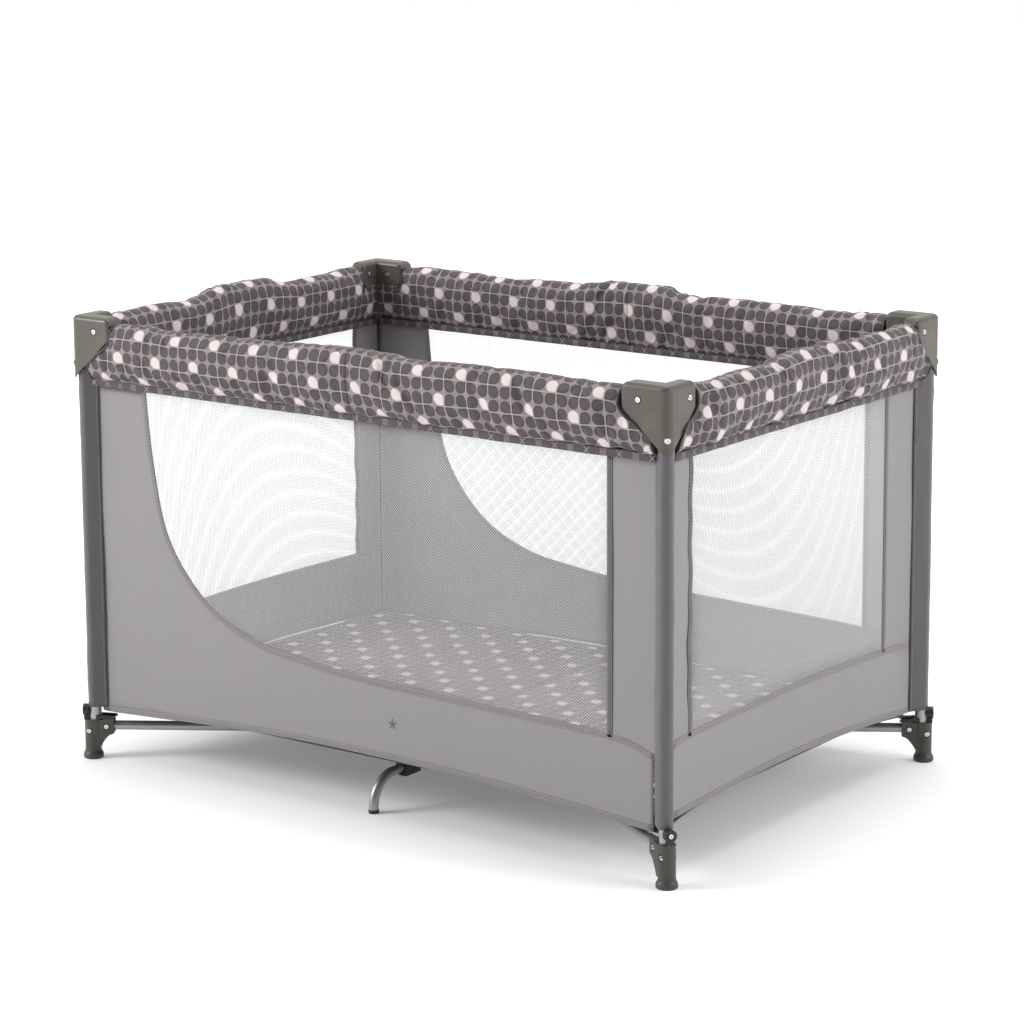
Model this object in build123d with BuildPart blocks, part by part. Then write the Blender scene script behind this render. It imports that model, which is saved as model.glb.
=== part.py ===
"""Folding playpen: four posts on feet, a scissor base under a lift-out mattress, and four padded top rails.

Frame: +Z up, X along the long sides, origin on the floor under the middle of the pen. Millimetres.
The folding frame is an exact constant-ratio linkage. Each half rail and each base arm turns by the
same angle, because the arm's plan length is made from the lengths of the two kinds of half rail.
"""
from build123d import *
import math
import os

os.makedirs("parts", exist_ok=True)

# Overall layout
POST_X = 510.0
POST_Y = 345.0
CAP_TOP = 673.0
RAIL_Z = 652.0

# Posts and their fabric sleeves
POST_R = 9.0
POST_WALL = 1.2
POST_BOTTOM = 50.5
POST_TOP = 640.0
SLEEVE_IN = 9.3
SLEEVE_OUT = 10.3
SLEEVE_BOTTOM = 84.0
SLEEVE_TOP = 602.0

# Corner caps
CAP_HALF_X = 13.5
CAP_HALF_Y = 16.0
CAP_WALL = 2.6
WING_X = 63.0
WING_Y = 52.0
WING_END_Z = 643.0
TAIL_Z = 576.0
CAP_CORNER_R = 13.0
CAP_END_R = 11.0
CAP_TOP_R = 7.0
CAP_ROOM_TOP = 662.0
CAP_INNER_LOW = 632.0
PLUG_GAP = 0.05
TAIL_SCREW_Z = 602.0

# Top rails, their pivots and centre locks
RAIL_R = 9.5
RAIL_BORE = 8.3
RAIL_PIN_IN = 34.0
LOCK_PIVOT = 15.0
RAIL_PIN_R = 3.0
RUNNING_GAP = 0.05
LOCK_HALF = 37.0
LOCK_CHEEK_IN = 10.2
LOCK_CHEEK_OUT = 13.4
LOCK_LOW = -36.0
LOCK_FLOOR = -32.0
LOCK_HIGH = 10.0
BUTTON_R = 7.0
BUTTON_ALONG = 16.0
BUTTON_DOWN = 23.0
BUTTON_FACE = 18.0
BUTTON_FLANGE = 1.5
BUTTON_LIP = 1.5
BUTTON_ROUND = 1.5
BUTTON_SEAT = 0.05

# Rail covers
COVER_CLEAR = 11.0
COVER_END_X = 490.0
COVER_END_Y = 321.0
COVER_GAP = 2.4
COVER_SPLIT = 0.3
COVER_TOP = 668.0
COVER_HEM = 570.0
COVER_HALF = 20.0
KNOB_TOP = 684.0
KNOB_HALF = 46.0
KNOB_WIDE = 23.0
KNOB_LOW = -26.0

# Feet
FOOT_SET = -5.0
FOOT_R = 12.0
FOOT_BASE_R = 15.0
FOOT_TOP = 60.0
EAR_END = 28.0
EAR_TOP = 64.0
EAR_LOW = 39.0
EAR_HALF = 10.6
FOOT_PIN_D = 17.0
FOOT_SCREW_D = -9.0
BOSS_Z = 74.0
BOSS_R = 8.6
BOSS_GAP = 0.4
BOSS_LONG = 8.0
BOSS_RIM = 1.0
BOSS_NECK = 4.0
HEAD_HIGH = 1.8
HEAD_SEAT_R = 5.4

# Base arms, hub and centre legs
BASE_Z = 50.0
ARM_R = 7.0
ARM_BORE = 5.8
ARM_PIN_R = 2.5
SLOT_HALF = 7.4
HUB_R = 36.0
HUB_LOW = 37.0
HUB_SHOULDER = 64.0
HUB_HIGH = 79.0
HUB_CHEEK = 10.8
LEG_PIVOT_Y = 40.0
LEG_FOOT_Y = 320.0
LEG_BEND = 42.0
LEG_CAP_R = 7.6
COLLAR_FROM = 262.0
COLLAR_TO = 222.0

# Sewn walls and mattress
WALL_X = 502.0
WALL_Y = 337.0
WALL_HALF = 1.0
WALL_TOP = 567.0
WALL_END_X = 486.0
WALL_END_Y = 316.0
HEM_END = 71.0
HEM_MID = 88.0
MAT_X = 494.0
MAT_Y = 332.0
MAT_LOW = 80.0
MAT_HIGH = 92.0
MAT_CORNER = 18.0
MAT_EDGE_R = 4.0

# The linkage: plan length and heading of a base arm follow from the two half-rail lengths
HALF_X = POST_X - RAIL_PIN_IN - LOCK_PIVOT
HALF_Y = POST_Y - RAIL_PIN_IN - LOCK_PIVOT
ARM_LENGTH = math.hypot(HALF_X, HALF_Y)
ARM_COS = HALF_X / ARM_LENGTH
ARM_SIN = HALF_Y / ARM_LENGTH

CORNERS = {
    "front_left": (-1, -1),
    "front_right": (1, -1),
    "back_left": (-1, 1),
    "back_right": (1, 1),
}


def save(builder, name):
    """Label a finished sub-part and write its STEP file."""
    builder.part.label = name
    export_step(builder.part, f"parts/{name}.step")


def arm_point(sx, sy, inward, z):
    """A point at a distance inward from a post's axis, along its base arm."""
    x = sx * (POST_X - inward * ARM_COS)
    y = sy * (POST_Y - inward * ARM_SIN)
    return (x, y, z)


def arm_plane(sx, sy):
    """Upright plane along a base arm: x inward from the post's axis, y up, origin on the floor."""
    inward = Vector(-sx * ARM_COS, -sy * ARM_SIN, 0)
    return Plane(origin=(sx * POST_X, sy * POST_Y, 0), x_dir=inward, z_dir=inward.cross(Vector(0, 0, 1)))


def side_plane(along_x, sign, across):
    """Upright plane of one side: x towards the named end, y up, z outward. Origin at floor, mid-side."""
    if along_x:
        return Plane(origin=(0, sign * across, 0), x_dir=(-sign, 0, 0), z_dir=(0, sign, 0))
    return Plane(origin=(sign * across, 0, 0), x_dir=(0, sign, 0), z_dir=(sign, 0, 0))


# ---------------------------------------------------------------- posts

def make_post(sx, sy, name):
    with BuildPart() as post:
        with BuildSketch(Plane((sx * POST_X, sy * POST_Y, POST_BOTTOM))):
            Circle(POST_R)
            Circle(POST_R - POST_WALL, mode=Mode.SUBTRACT)
        extrude(amount=POST_TOP - POST_BOTTOM)
    save(post, f"post_{name}")


def make_sleeve(sx, sy, name):
    with BuildPart() as sleeve:
        with BuildSketch(Plane((sx * POST_X, sy * POST_Y, SLEEVE_BOTTOM))):
            Circle(SLEEVE_OUT)
            Circle(SLEEVE_IN, mode=Mode.SUBTRACT)
        extrude(amount=SLEEVE_TOP - SLEEVE_BOTTOM)
    save(sleeve, f"sleeve_{name}")


def cap_outline(sx, sy, inset, overrun):
    """Plan outline of a corner cap: an L round the post, moved in by inset, its arms longer by overrun."""
    half_x = CAP_HALF_X - inset
    half_y = CAP_HALF_Y - inset
    wing_x = WING_X + overrun
    wing_y = WING_Y + overrun
    points = [
        (half_x, half_y), (half_x, -wing_y), (-half_x, -wing_y),
        (-half_x, -half_y), (-wing_x, -half_y), (-wing_x, half_y),
    ]
    return [(sx * (POST_X + u), sy * (POST_Y + v)) for u, v in points]


def make_cap(sx, sy, name):
    slope_x = (WING_END_Z - TAIL_Z) / (WING_X + CAP_HALF_X)
    slope_y = (WING_END_Z - TAIL_Z) / (WING_Y + CAP_HALF_Y)
    low = TAIL_Z - 20.0
    with BuildPart() as cap:
        with BuildSketch(Plane.XY.offset(TAIL_Z)):
            with BuildLine():
                Polyline(cap_outline(sx, sy, 0, 0), close=True)
            make_face()
        extrude(amount=CAP_TOP - TAIL_Z)
        fillet(outer_corner(cap.edges(), sx, sy), CAP_CORNER_R)
        ends = cap.faces().filter_by(Axis.X).sort_by(Axis.X)[0 if sx > 0 else -1].edges()
        ends += cap.faces().filter_by(Axis.Y).sort_by(Axis.Y)[0 if sy > 0 else -1].edges()
        fillet(ends.filter_by(lambda e: abs(e.center().Z - CAP_TOP) < 0.1), CAP_END_R)
        fillet(cap.faces().sort_by(Axis.Z)[-1].edges(), CAP_TOP_R)
        add(cap_room(sx, sy, low), mode=Mode.SUBTRACT)
        with BuildSketch(Plane.XY.offset(low)):
            with Locations((sx * (POST_X - CAP_HALF_X) / 2, sy * (POST_Y - CAP_HALF_Y) / 2)):
                Rectangle(POST_X - CAP_HALF_X + 2 * CAP_WALL + 0.6, POST_Y - CAP_HALF_Y + 2 * CAP_WALL + 0.6)
        extrude(amount=CAP_INNER_LOW - low, mode=Mode.SUBTRACT)
        with BuildSketch(Plane.XZ):
            with BuildLine():
                x_tail = sx * (POST_X + CAP_HALF_X + 1)
                x_wing = sx * (POST_X - WING_X - 1)
                Polyline((x_tail, TAIL_Z - slope_x), (x_wing, WING_END_Z + slope_x), (x_wing, low),
                         (x_tail, low), close=True)
            make_face()
        extrude(amount=POST_Y + 2 * WING_Y, both=True, mode=Mode.SUBTRACT)
        with BuildSketch(Plane.YZ):
            with BuildLine():
                y_tail = sy * (POST_Y + CAP_HALF_Y + 1)
                y_wing = sy * (POST_Y - WING_Y - 1)
                Polyline((y_tail, TAIL_Z - slope_y), (y_wing, WING_END_Z + slope_y), (y_wing, low),
                         (y_tail, low), close=True)
            make_face()
        extrude(amount=POST_X + 2 * WING_X, both=True, mode=Mode.SUBTRACT)
        with BuildSketch(Plane((sx * POST_X, sy * POST_Y, POST_TOP - 30))):
            Circle(POST_R - POST_WALL - PLUG_GAP)
        extrude(amount=CAP_TOP - POST_TOP + 28)
        for spot, half in pin_spots(sx, sy):
            with BuildSketch(spot):
                Circle(RAIL_PIN_R + 0.1)
            extrude(amount=half + 1, both=True, mode=Mode.SUBTRACT)
            for turn in (1, -1):
                with BuildSketch(Plane(origin=spot.origin + turn * (half - 1.0) * spot.z_dir,
                                       z_dir=turn * spot.z_dir)):
                    Circle(HEAD_SEAT_R)
                extrude(amount=3, mode=Mode.SUBTRACT)
        with BuildSketch(tail_plane(sx, sy)):
            Circle(2.1)
        extrude(amount=-12, mode=Mode.SUBTRACT)
    save(cap, f"corner_cap_{name}")


def outer_corner(edges, sx, sy):
    """The upright edge of a cap that faces out along the diagonal."""
    return edges.filter_by(Axis.Z).sort_by(lambda e: sx * e.center().X + sy * e.center().Y)[-1]


def cap_room(sx, sy, low):
    """The room inside a cap for the post and the ends of the two rails."""
    with BuildPart() as room:
        with BuildSketch(Plane.XY.offset(low)):
            with BuildLine():
                Polyline(cap_outline(sx, sy, CAP_WALL, 1), close=True)
            make_face()
        extrude(amount=CAP_ROOM_TOP - low)
        fillet(outer_corner(room.edges(), sx, sy), CAP_CORNER_R - CAP_WALL)
    return room.part


def pin_spots(sx, sy):
    """Planes on a corner's two rail pivots, normal outward, each with half the width of its wing."""
    long_side = Plane(origin=(sx * (POST_X - RAIL_PIN_IN), sy * POST_Y, RAIL_Z), z_dir=(0, sy, 0))
    short_side = Plane(origin=(sx * POST_X, sy * (POST_Y - RAIL_PIN_IN), RAIL_Z), z_dir=(sx, 0, 0))
    return [(long_side, CAP_HALF_Y), (short_side, CAP_HALF_X)]


def tail_plane(sx, sy):
    """Plane of the screw at the foot of a cap's corner, normal outward along the diagonal."""
    reach = CAP_CORNER_R / math.sqrt(2) - CAP_CORNER_R
    return Plane(origin=(sx * (POST_X + CAP_HALF_X + reach), sy * (POST_Y + CAP_HALF_Y + reach),
                         TAIL_SCREW_Z), z_dir=(sx, sy, 0))


# ---------------------------------------------------------------- feet and fasteners

def boss_plane(sx, sy, out):
    """Plane across a foot's clamp boss, facing away from the pen, at a distance out from the post's axis."""
    return Plane(origin=arm_point(sx, sy, -out, BOSS_Z), z_dir=(sx * ARM_COS, sy * ARM_SIN, 0))


def make_foot(sx, sy, name):
    upright = arm_plane(sx, sy)
    axis_x, axis_y, _ = arm_point(sx, sy, FOOT_SET, 0)
    with BuildPart() as foot:
        with BuildSketch(upright):
            with BuildLine():
                Polyline((FOOT_SET, 0), (FOOT_SET + FOOT_BASE_R - 1.5, 0), (FOOT_SET + FOOT_BASE_R, 1.5))
                Line((FOOT_SET + FOOT_BASE_R, 1.5), (FOOT_SET + FOOT_BASE_R, 5))
                Spline((FOOT_SET + FOOT_BASE_R, 5), (FOOT_SET + FOOT_R + 1, 10), (FOOT_SET + FOOT_R, 16),
                       tangents=[(0, 1), (0, 1)])
                Polyline((FOOT_SET + FOOT_R, 16), (FOOT_SET + FOOT_R, FOOT_TOP), (FOOT_SET, FOOT_TOP),
                         (FOOT_SET, 0))
            make_face()
        revolve(axis=Axis((axis_x, axis_y, 0), (0, 0, 1)))
        with BuildSketch(Plane((sx * POST_X, sy * POST_Y, EAR_LOW))):
            Circle(FOOT_R)
        extrude(amount=FOOT_TOP - EAR_LOW)
        with BuildSketch(upright):
            with BuildLine():
                low = Spline((EAR_END, EAR_LOW), (EAR_END - 13, EAR_LOW - 9), (FOOT_SET + FOOT_R - 1, 14),
                             tangents=[(-1, -0.15), (-0.3, -1)])
                Polyline(low @ 1, (FOOT_SET, 14), (FOOT_SET, FOOT_TOP), (EAR_END - 16, FOOT_TOP),
                         (EAR_END - 9, EAR_TOP), (EAR_END, EAR_TOP), low @ 0)
            make_face()
        extrude(amount=EAR_HALF, both=True)
        with BuildSketch(upright):
            with BuildLine():
                Polyline((2, EAR_TOP - 2.5), (EAR_END + 4, EAR_TOP - 2.5), (EAR_END + 2, EAR_TOP + 1.5),
                         (2, EAR_TOP + 3), close=True)
            make_face()
        extrude(amount=EAR_HALF, both=True)
        # Slot for the arm, open above and inward
        with BuildSketch(upright):
            with BuildLine():
                back = FOOT_PIN_D - ARM_R - 0.7
                Polyline((back, BASE_Z - ARM_R - 0.7), (EAR_END + 9, BASE_Z - ARM_R - 0.7),
                         (EAR_END + 9, EAR_TOP + 9), (back, EAR_TOP + 9), close=True)
            make_face()
        extrude(amount=SLOT_HALF, both=True, mode=Mode.SUBTRACT)
        # Socket for the post
        with BuildSketch(Plane((sx * POST_X, sy * POST_Y, POST_BOTTOM - 0.5))):
            Circle(POST_R + 0.15)
        extrude(amount=30, mode=Mode.SUBTRACT)
        for inward, height in ((FOOT_PIN_D, BASE_Z), (FOOT_SCREW_D, BASE_Z - 7)):
            spot = Plane(origin=arm_point(sx, sy, inward, height), z_dir=upright.z_dir)
            with BuildSketch(spot):
                Circle(ARM_PIN_R + 0.1)
            extrude(amount=20, both=True, mode=Mode.SUBTRACT)
            for turn in (1, -1):
                with BuildSketch(Plane(origin=spot.origin + turn * (EAR_HALF - 1.0) * spot.z_dir,
                                       z_dir=turn * spot.z_dir)):
                    Circle(5.0)
                extrude(amount=8, mode=Mode.SUBTRACT)
        # Round boss that clamps the lower end of the post, just above the foot
        outward = boss_plane(sx, sy, POST_R + BOSS_GAP)
        with BuildSketch(outward):
            Circle(BOSS_R)
        extrude(amount=BOSS_LONG + BOSS_RIM)
        with BuildSketch(upright):
            with BuildLine():
                Polyline((-POST_R - BOSS_GAP, FOOT_TOP - 2), (-POST_R - BOSS_GAP - BOSS_LONG, FOOT_TOP - 2),
                         (-POST_R - BOSS_GAP - BOSS_LONG, BOSS_Z), (-POST_R - BOSS_GAP, BOSS_Z), close=True)
            make_face()
        extrude(amount=BOSS_NECK, both=True)
        with BuildSketch(outward.offset(BOSS_LONG)):
            Circle(4.6)
        extrude(amount=2, mode=Mode.SUBTRACT)
    save(foot, f"foot_{name}")


def make_screws(sx, sy, name):
    upright = arm_plane(sx, sy)
    tail = tail_plane(sx, sy)
    boss = boss_plane(sx, sy, POST_R + BOSS_GAP + BOSS_LONG)
    pins = [(spot, RAIL_PIN_R, half - 1.0, 4.6) for spot, half in pin_spots(sx, sy)]
    for inward, height in ((FOOT_PIN_D, BASE_Z), (FOOT_SCREW_D, BASE_Z - 7)):
        spot = Plane(origin=arm_point(sx, sy, inward, height), z_dir=upright.z_dir)
        pins.append((spot, ARM_PIN_R, EAR_HALF - 1.0, 4.2))
    heads = [(tail, 4.6), (boss, 4.2)]
    for spot, _, half, head_r in pins:
        for turn in (1, -1):
            seat = Plane(origin=spot.origin + turn * half * spot.z_dir, z_dir=turn * spot.z_dir)
            heads.append((seat, head_r))
    with BuildPart() as screws:
        for spot, radius, half, _ in pins:
            with BuildSketch(spot):
                Circle(radius)
            extrude(amount=half, both=True)
        with BuildSketch(tail):
            Circle(1.9)
        extrude(amount=-2.4)
        for seat, head_r in heads:
            with BuildSketch(seat):
                Circle(head_r)
            extrude(amount=HEAD_HIGH, taper=25)
            with BuildSketch(seat.offset(HEAD_HIGH - 0.8)):
                RegularPolygon(head_r * 0.34, 6)
            extrude(amount=2, mode=Mode.SUBTRACT)
    save(screws, f"screws_{name}")


# ---------------------------------------------------------------- top rails

def side_parts():
    """Every side of the pen: name, whether it runs along X, outward sign, and its two halves."""
    yield "front", True, -1, (("left", -1), ("right", 1))
    yield "back", True, 1, (("left", -1), ("right", 1))
    yield "left", False, -1, (("front", -1), ("back", 1))
    yield "right", False, 1, (("front", -1), ("back", 1))


def rail_frame(along_x, sign):
    """Upright plane through a side's rail axis: x along +X or +Y, y up, origin at floor, mid-side."""
    if along_x:
        return Plane(origin=(0, sign * POST_Y, 0), x_dir=(1, 0, 0), z_dir=(0, -1, 0))
    return Plane(origin=(sign * POST_X, 0, 0), x_dir=(0, 1, 0), z_dir=(1, 0, 0))


def section_frame(along_x, sign, end):
    """Plane across a side at mid-length, facing the end: x outward from the pen's side, y up."""
    if along_x:
        return Plane(origin=(0, sign * POST_Y, RAIL_Z), x_dir=(0, sign, 0), z_dir=(sign, 0, 0))
    return Plane(origin=(sign * POST_X, 0, RAIL_Z), x_dir=(sign, 0, 0), z_dir=(0, -sign, 0))


def make_tube(frame, start, end, height, radius, bore, pin_r, name):
    """A tube along a frame's x, with rounded ends about a pivot hole at each end."""
    middle = (start + end) / 2
    way = math.copysign(1, end - start)
    beyond = frame.from_local_coords((start - way * 2 * radius, height, 0))
    along = Plane(origin=beyond, z_dir=way * frame.x_dir)
    with BuildPart() as tube:
        with BuildSketch(frame):
            with Locations((middle, height)):
                SlotCenterToCenter(abs(end - start), 2 * radius)
        extrude(amount=radius + 1, both=True)
        with BuildSketch(along):
            Circle(radius)
        extrude(amount=abs(end - start) + 4 * radius, mode=Mode.INTERSECT)
        with BuildSketch(along):
            Circle(bore)
        extrude(amount=abs(end - start) + 4 * radius, mode=Mode.SUBTRACT)
        with BuildSketch(frame):
            with Locations((start, height), (end, height)):
                Circle(pin_r)
        extrude(amount=radius + 1, both=True, mode=Mode.SUBTRACT)
    save(tube, name)


def make_rail(side, along_x, sign, half, end):
    outer = (POST_X if along_x else POST_Y) - RAIL_PIN_IN
    make_tube(rail_frame(along_x, sign), end * LOCK_PIVOT, end * outer, RAIL_Z, RAIL_R, RAIL_BORE,
              RAIL_PIN_R + RUNNING_GAP, f"rail_{side}_{half}")


def cover_section(section):
    """Outline across a rail cover: rounded over the rail, hanging to a narrow hem."""
    half = COVER_HALF
    hem = COVER_HEM - RAIL_Z
    with BuildSketch(section) as outline:
        with BuildLine():
            crown = ThreePointArc((-half, 0), (0, COVER_TOP - RAIL_Z), (half, 0))
            outside = Spline(crown @ 1, (half - 3, -40), (2, hem), tangents=[(0, -1), (-0.6, -1)])
            inside = Spline((-16, hem), (-half, -36), crown @ 0, tangents=[(-0.5, 1), (0, 1)])
            Line(outside @ 1, inside @ 0)
        make_face()
    return outline.sketch


def swelling_section(section):
    """Outline of the raised crown over a centre lock, closed inside the cover below it."""
    with BuildSketch(section) as outline:
        with BuildLine():
            crown = ThreePointArc((-KNOB_WIDE, 0), (0, KNOB_TOP - RAIL_Z), (KNOB_WIDE, 0))
            Polyline(crown @ 1, (LOCK_CHEEK_IN, KNOB_LOW), (-LOCK_CHEEK_IN, KNOB_LOW), crown @ 0)
        make_face()
    return outline.sketch


def make_cover(side, along_x, sign, half, end):
    frame = rail_frame(along_x, sign)
    section = section_frame(along_x, sign, end)
    travel = 1 if section.z_dir.dot(frame.x_dir) * end > 0 else -1
    reach = COVER_END_X if along_x else COVER_END_Y
    wing = (POST_X - WING_X if along_x else POST_Y - WING_Y) - COVER_GAP
    run = WING_X + CAP_HALF_X if along_x else WING_Y + CAP_HALF_Y
    slope = (WING_END_Z - TAIL_Z) / run
    shoulder = WING_END_Z - COVER_GAP
    low_end = shoulder - (reach - wing) * slope
    plain = cover_section(section)
    swollen = swelling_section(section)
    with BuildPart() as cover:
        extrude(plain, amount=travel * reach)
        # Swelling over the centre lock
        extrude(swollen, amount=travel * KNOB_HALF)
        with BuildSketch(frame):
            with BuildLine():
                Polyline((end * (wing + 200), COVER_TOP + 30), (end * wing, COVER_TOP + 30),
                         (end * wing, shoulder), (end * reach, low_end), (end * (reach + 200), low_end),
                         close=True)
            make_face()
        extrude(amount=2 * COVER_HALF, both=True, mode=Mode.SUBTRACT)
        with BuildSketch(section):
            Circle(COVER_CLEAR)
        extrude(amount=travel * reach, mode=Mode.SUBTRACT)
        with BuildSketch(section):
            with Locations((0, (LOCK_LOW + LOCK_HIGH) / 2)):
                Rectangle(2 * LOCK_CHEEK_OUT + 3, LOCK_HIGH - LOCK_LOW + 8)
        extrude(amount=travel * (LOCK_HALF + 4), mode=Mode.SUBTRACT)
        with BuildSketch(button_plane(along_x, sign, LOCK_CHEEK_OUT)):
            Circle(BUTTON_R + 1)
        extrude(amount=COVER_HALF, mode=Mode.SUBTRACT)
        with BuildSketch(section):
            Rectangle(200, 400)
        extrude(amount=travel * COVER_SPLIT, mode=Mode.SUBTRACT)
    save(cover, f"cover_{side}_{half}")


def button_plane(along_x, sign, out):
    """Plane square to a release button's axis, normal outward, at a distance out from the rail's axis."""
    face = side_plane(along_x, sign, (POST_Y if along_x else POST_X) + out)
    centre = face.from_local_coords((BUTTON_ALONG, RAIL_Z - BUTTON_DOWN, 0))
    return Plane(origin=centre, x_dir=face.x_dir, z_dir=face.z_dir)


def make_lock(side, along_x, sign):
    frame = rail_frame(along_x, sign)
    with BuildPart() as lock:
        with BuildSketch(frame):
            with Locations((0, RAIL_Z + (LOCK_LOW + LOCK_HIGH) / 2)):
                RectangleRounded(2 * LOCK_HALF, LOCK_HIGH - LOCK_LOW, 6)
        extrude(amount=LOCK_CHEEK_OUT, both=True)
        with BuildSketch(frame):
            with Locations((0, RAIL_Z + LOCK_FLOOR + 30)):
                Rectangle(4 * LOCK_HALF, 60)
        extrude(amount=LOCK_CHEEK_IN, both=True, mode=Mode.SUBTRACT)
        with BuildSketch(frame):
            with Locations((LOCK_PIVOT, RAIL_Z), (-LOCK_PIVOT, RAIL_Z)):
                Circle(RAIL_PIN_R)
        extrude(amount=LOCK_CHEEK_OUT, both=True)
        with BuildSketch(button_plane(along_x, sign, LOCK_CHEEK_IN - 1)):
            Circle(BUTTON_R + 0.1)
        extrude(amount=LOCK_CHEEK_OUT - LOCK_CHEEK_IN + 2, mode=Mode.SUBTRACT)
    save(lock, f"lock_{side}")


def make_button(side, along_x, sign):
    """The push button that frees a lock: a flange behind the cheek and a rounded face outside it."""
    back = LOCK_CHEEK_IN - BUTTON_SEAT - BUTTON_FLANGE
    with BuildPart() as button:
        with BuildSketch(button_plane(along_x, sign, back)):
            Circle(BUTTON_R)
        extrude(amount=BUTTON_FACE - back)
        fillet(button.faces().sort_by(outward_axis(along_x, sign))[-1].edges(), BUTTON_ROUND)
        with BuildSketch(button_plane(along_x, sign, back)):
            Circle(BUTTON_R + BUTTON_LIP)
        extrude(amount=BUTTON_FLANGE)
    save(button, f"lock_button_{side}")


def outward_axis(along_x, sign):
    """Axis pointing out of a side of the pen."""
    return Axis((0, 0, 0), (0, sign, 0) if along_x else (sign, 0, 0))


# ---------------------------------------------------------------- base

def make_arm(sx, sy, name):
    make_tube(arm_plane(sx, sy), FOOT_PIN_D, FOOT_PIN_D + ARM_LENGTH, BASE_Z, ARM_R, ARM_BORE,
              ARM_PIN_R + RUNNING_GAP, f"arm_{name}")


def leg_plane(sy):
    """Upright plane along a centre leg: x outward from the hub, y up, origin at floor, mid-pen."""
    return Plane(origin=(0, 0, 0), x_dir=(0, sy, 0), z_dir=(sy, 0, 0))


def make_hub():
    outer = FOOT_PIN_D + ARM_LENGTH
    with BuildPart() as hub:
        with BuildSketch(Plane.XY.offset(HUB_LOW)):
            Circle(HUB_R)
        extrude(amount=HUB_HIGH - HUB_LOW, taper=8)
        for sx, sy in CORNERS.values():
            with BuildSketch(arm_plane(sx, sy)):
                with BuildLine():
                    Polyline((outer - 9, HUB_LOW), (outer + 40, HUB_LOW), (outer + 40, HUB_SHOULDER),
                             (outer - 4, HUB_SHOULDER), (outer - 9, HUB_SHOULDER - 5), close=True)
                make_face()
            extrude(amount=HUB_CHEEK, both=True)
        for sy in (-1, 1):
            with BuildSketch(leg_plane(sy)):
                with BuildLine():
                    Polyline((0, HUB_LOW), (LEG_PIVOT_Y + 9, HUB_LOW), (LEG_PIVOT_Y + 9, HUB_SHOULDER - 5),
                             (LEG_PIVOT_Y + 4, HUB_SHOULDER), (0, HUB_SHOULDER), close=True)
                make_face()
            extrude(amount=HUB_CHEEK, both=True)
        fillet(hub.faces().sort_by(Axis.Z)[-1].edges(), 1.5)
        # Slots for the arms and legs, open below and outward
        for sx, sy in CORNERS.values():
            with BuildSketch(arm_plane(sx, sy)):
                with BuildLine():
                    Polyline((outer - 40, HUB_LOW - 9), (outer + ARM_R + 0.8, HUB_LOW - 9),
                             (outer + ARM_R + 0.8, BASE_Z + ARM_R + 0.8), (outer - 40, BASE_Z + ARM_R + 0.8),
                             close=True)
                make_face()
            extrude(amount=SLOT_HALF, both=True, mode=Mode.SUBTRACT)
        for sy in (-1, 1):
            with BuildSketch(leg_plane(sy)):
                with BuildLine():
                    Polyline((LEG_PIVOT_Y - ARM_R - 0.8, HUB_LOW - 9), (LEG_PIVOT_Y + 40, HUB_LOW - 9),
                             (LEG_PIVOT_Y + 40, BASE_Z + ARM_R + 0.8),
                             (LEG_PIVOT_Y - ARM_R - 0.8, BASE_Z + ARM_R + 0.8), close=True)
                make_face()
            extrude(amount=SLOT_HALF, both=True, mode=Mode.SUBTRACT)
        for spot in hub_pin_planes():
            with BuildSketch(spot):
                Circle(ARM_PIN_R)
            extrude(amount=HUB_CHEEK, both=True)
    save(hub, "hub")


def hub_pin_planes():
    """Planes on the hub's six pivots, normal along each pin."""
    outer = FOOT_PIN_D + ARM_LENGTH
    spots = []
    for sx, sy in CORNERS.values():
        spots.append(Plane(origin=arm_point(sx, sy, outer, BASE_Z), z_dir=arm_plane(sx, sy).z_dir))
    for sy in (-1, 1):
        spots.append(Plane(origin=(0, sy * LEG_PIVOT_Y, BASE_Z), z_dir=(1, 0, 0)))
    return spots


def make_leg(sy, name):
    plane = leg_plane(sy)
    with BuildPart() as leg:
        with BuildLine(plane):
            run = Line((LEG_PIVOT_Y - ARM_R, BASE_Z), (LEG_FOOT_Y - LEG_BEND, BASE_Z))
            bend = RadiusArc(run @ 1, (LEG_FOOT_Y, BASE_Z - LEG_BEND), LEG_BEND)
            Line(bend @ 1, (LEG_FOOT_Y, 1.2))
        with BuildSketch(Plane(origin=plane.from_local_coords((LEG_PIVOT_Y - ARM_R, BASE_Z, 0)),
                               z_dir=plane.x_dir)):
            Circle(ARM_R)
            Circle(ARM_BORE, mode=Mode.SUBTRACT)
        sweep()
        # Rounded end about the pivot
        with BuildSketch(plane):
            with BuildLine():
                nose = ThreePointArc((LEG_PIVOT_Y, BASE_Z + ARM_R), (LEG_PIVOT_Y - ARM_R, BASE_Z),
                                     (LEG_PIVOT_Y, BASE_Z - ARM_R))
                Polyline(nose @ 1, (LEG_PIVOT_Y - 2 * ARM_R, BASE_Z - ARM_R),
                         (LEG_PIVOT_Y - 2 * ARM_R, BASE_Z + ARM_R), nose @ 0)
            make_face()
        extrude(amount=ARM_R + 1, both=True, mode=Mode.SUBTRACT)
        with BuildSketch(plane):
            with Locations((LEG_PIVOT_Y, BASE_Z)):
                Circle(ARM_PIN_R + RUNNING_GAP)
        extrude(amount=ARM_R + 1, both=True, mode=Mode.SUBTRACT)
    save(leg, f"leg_{name}")


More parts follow.
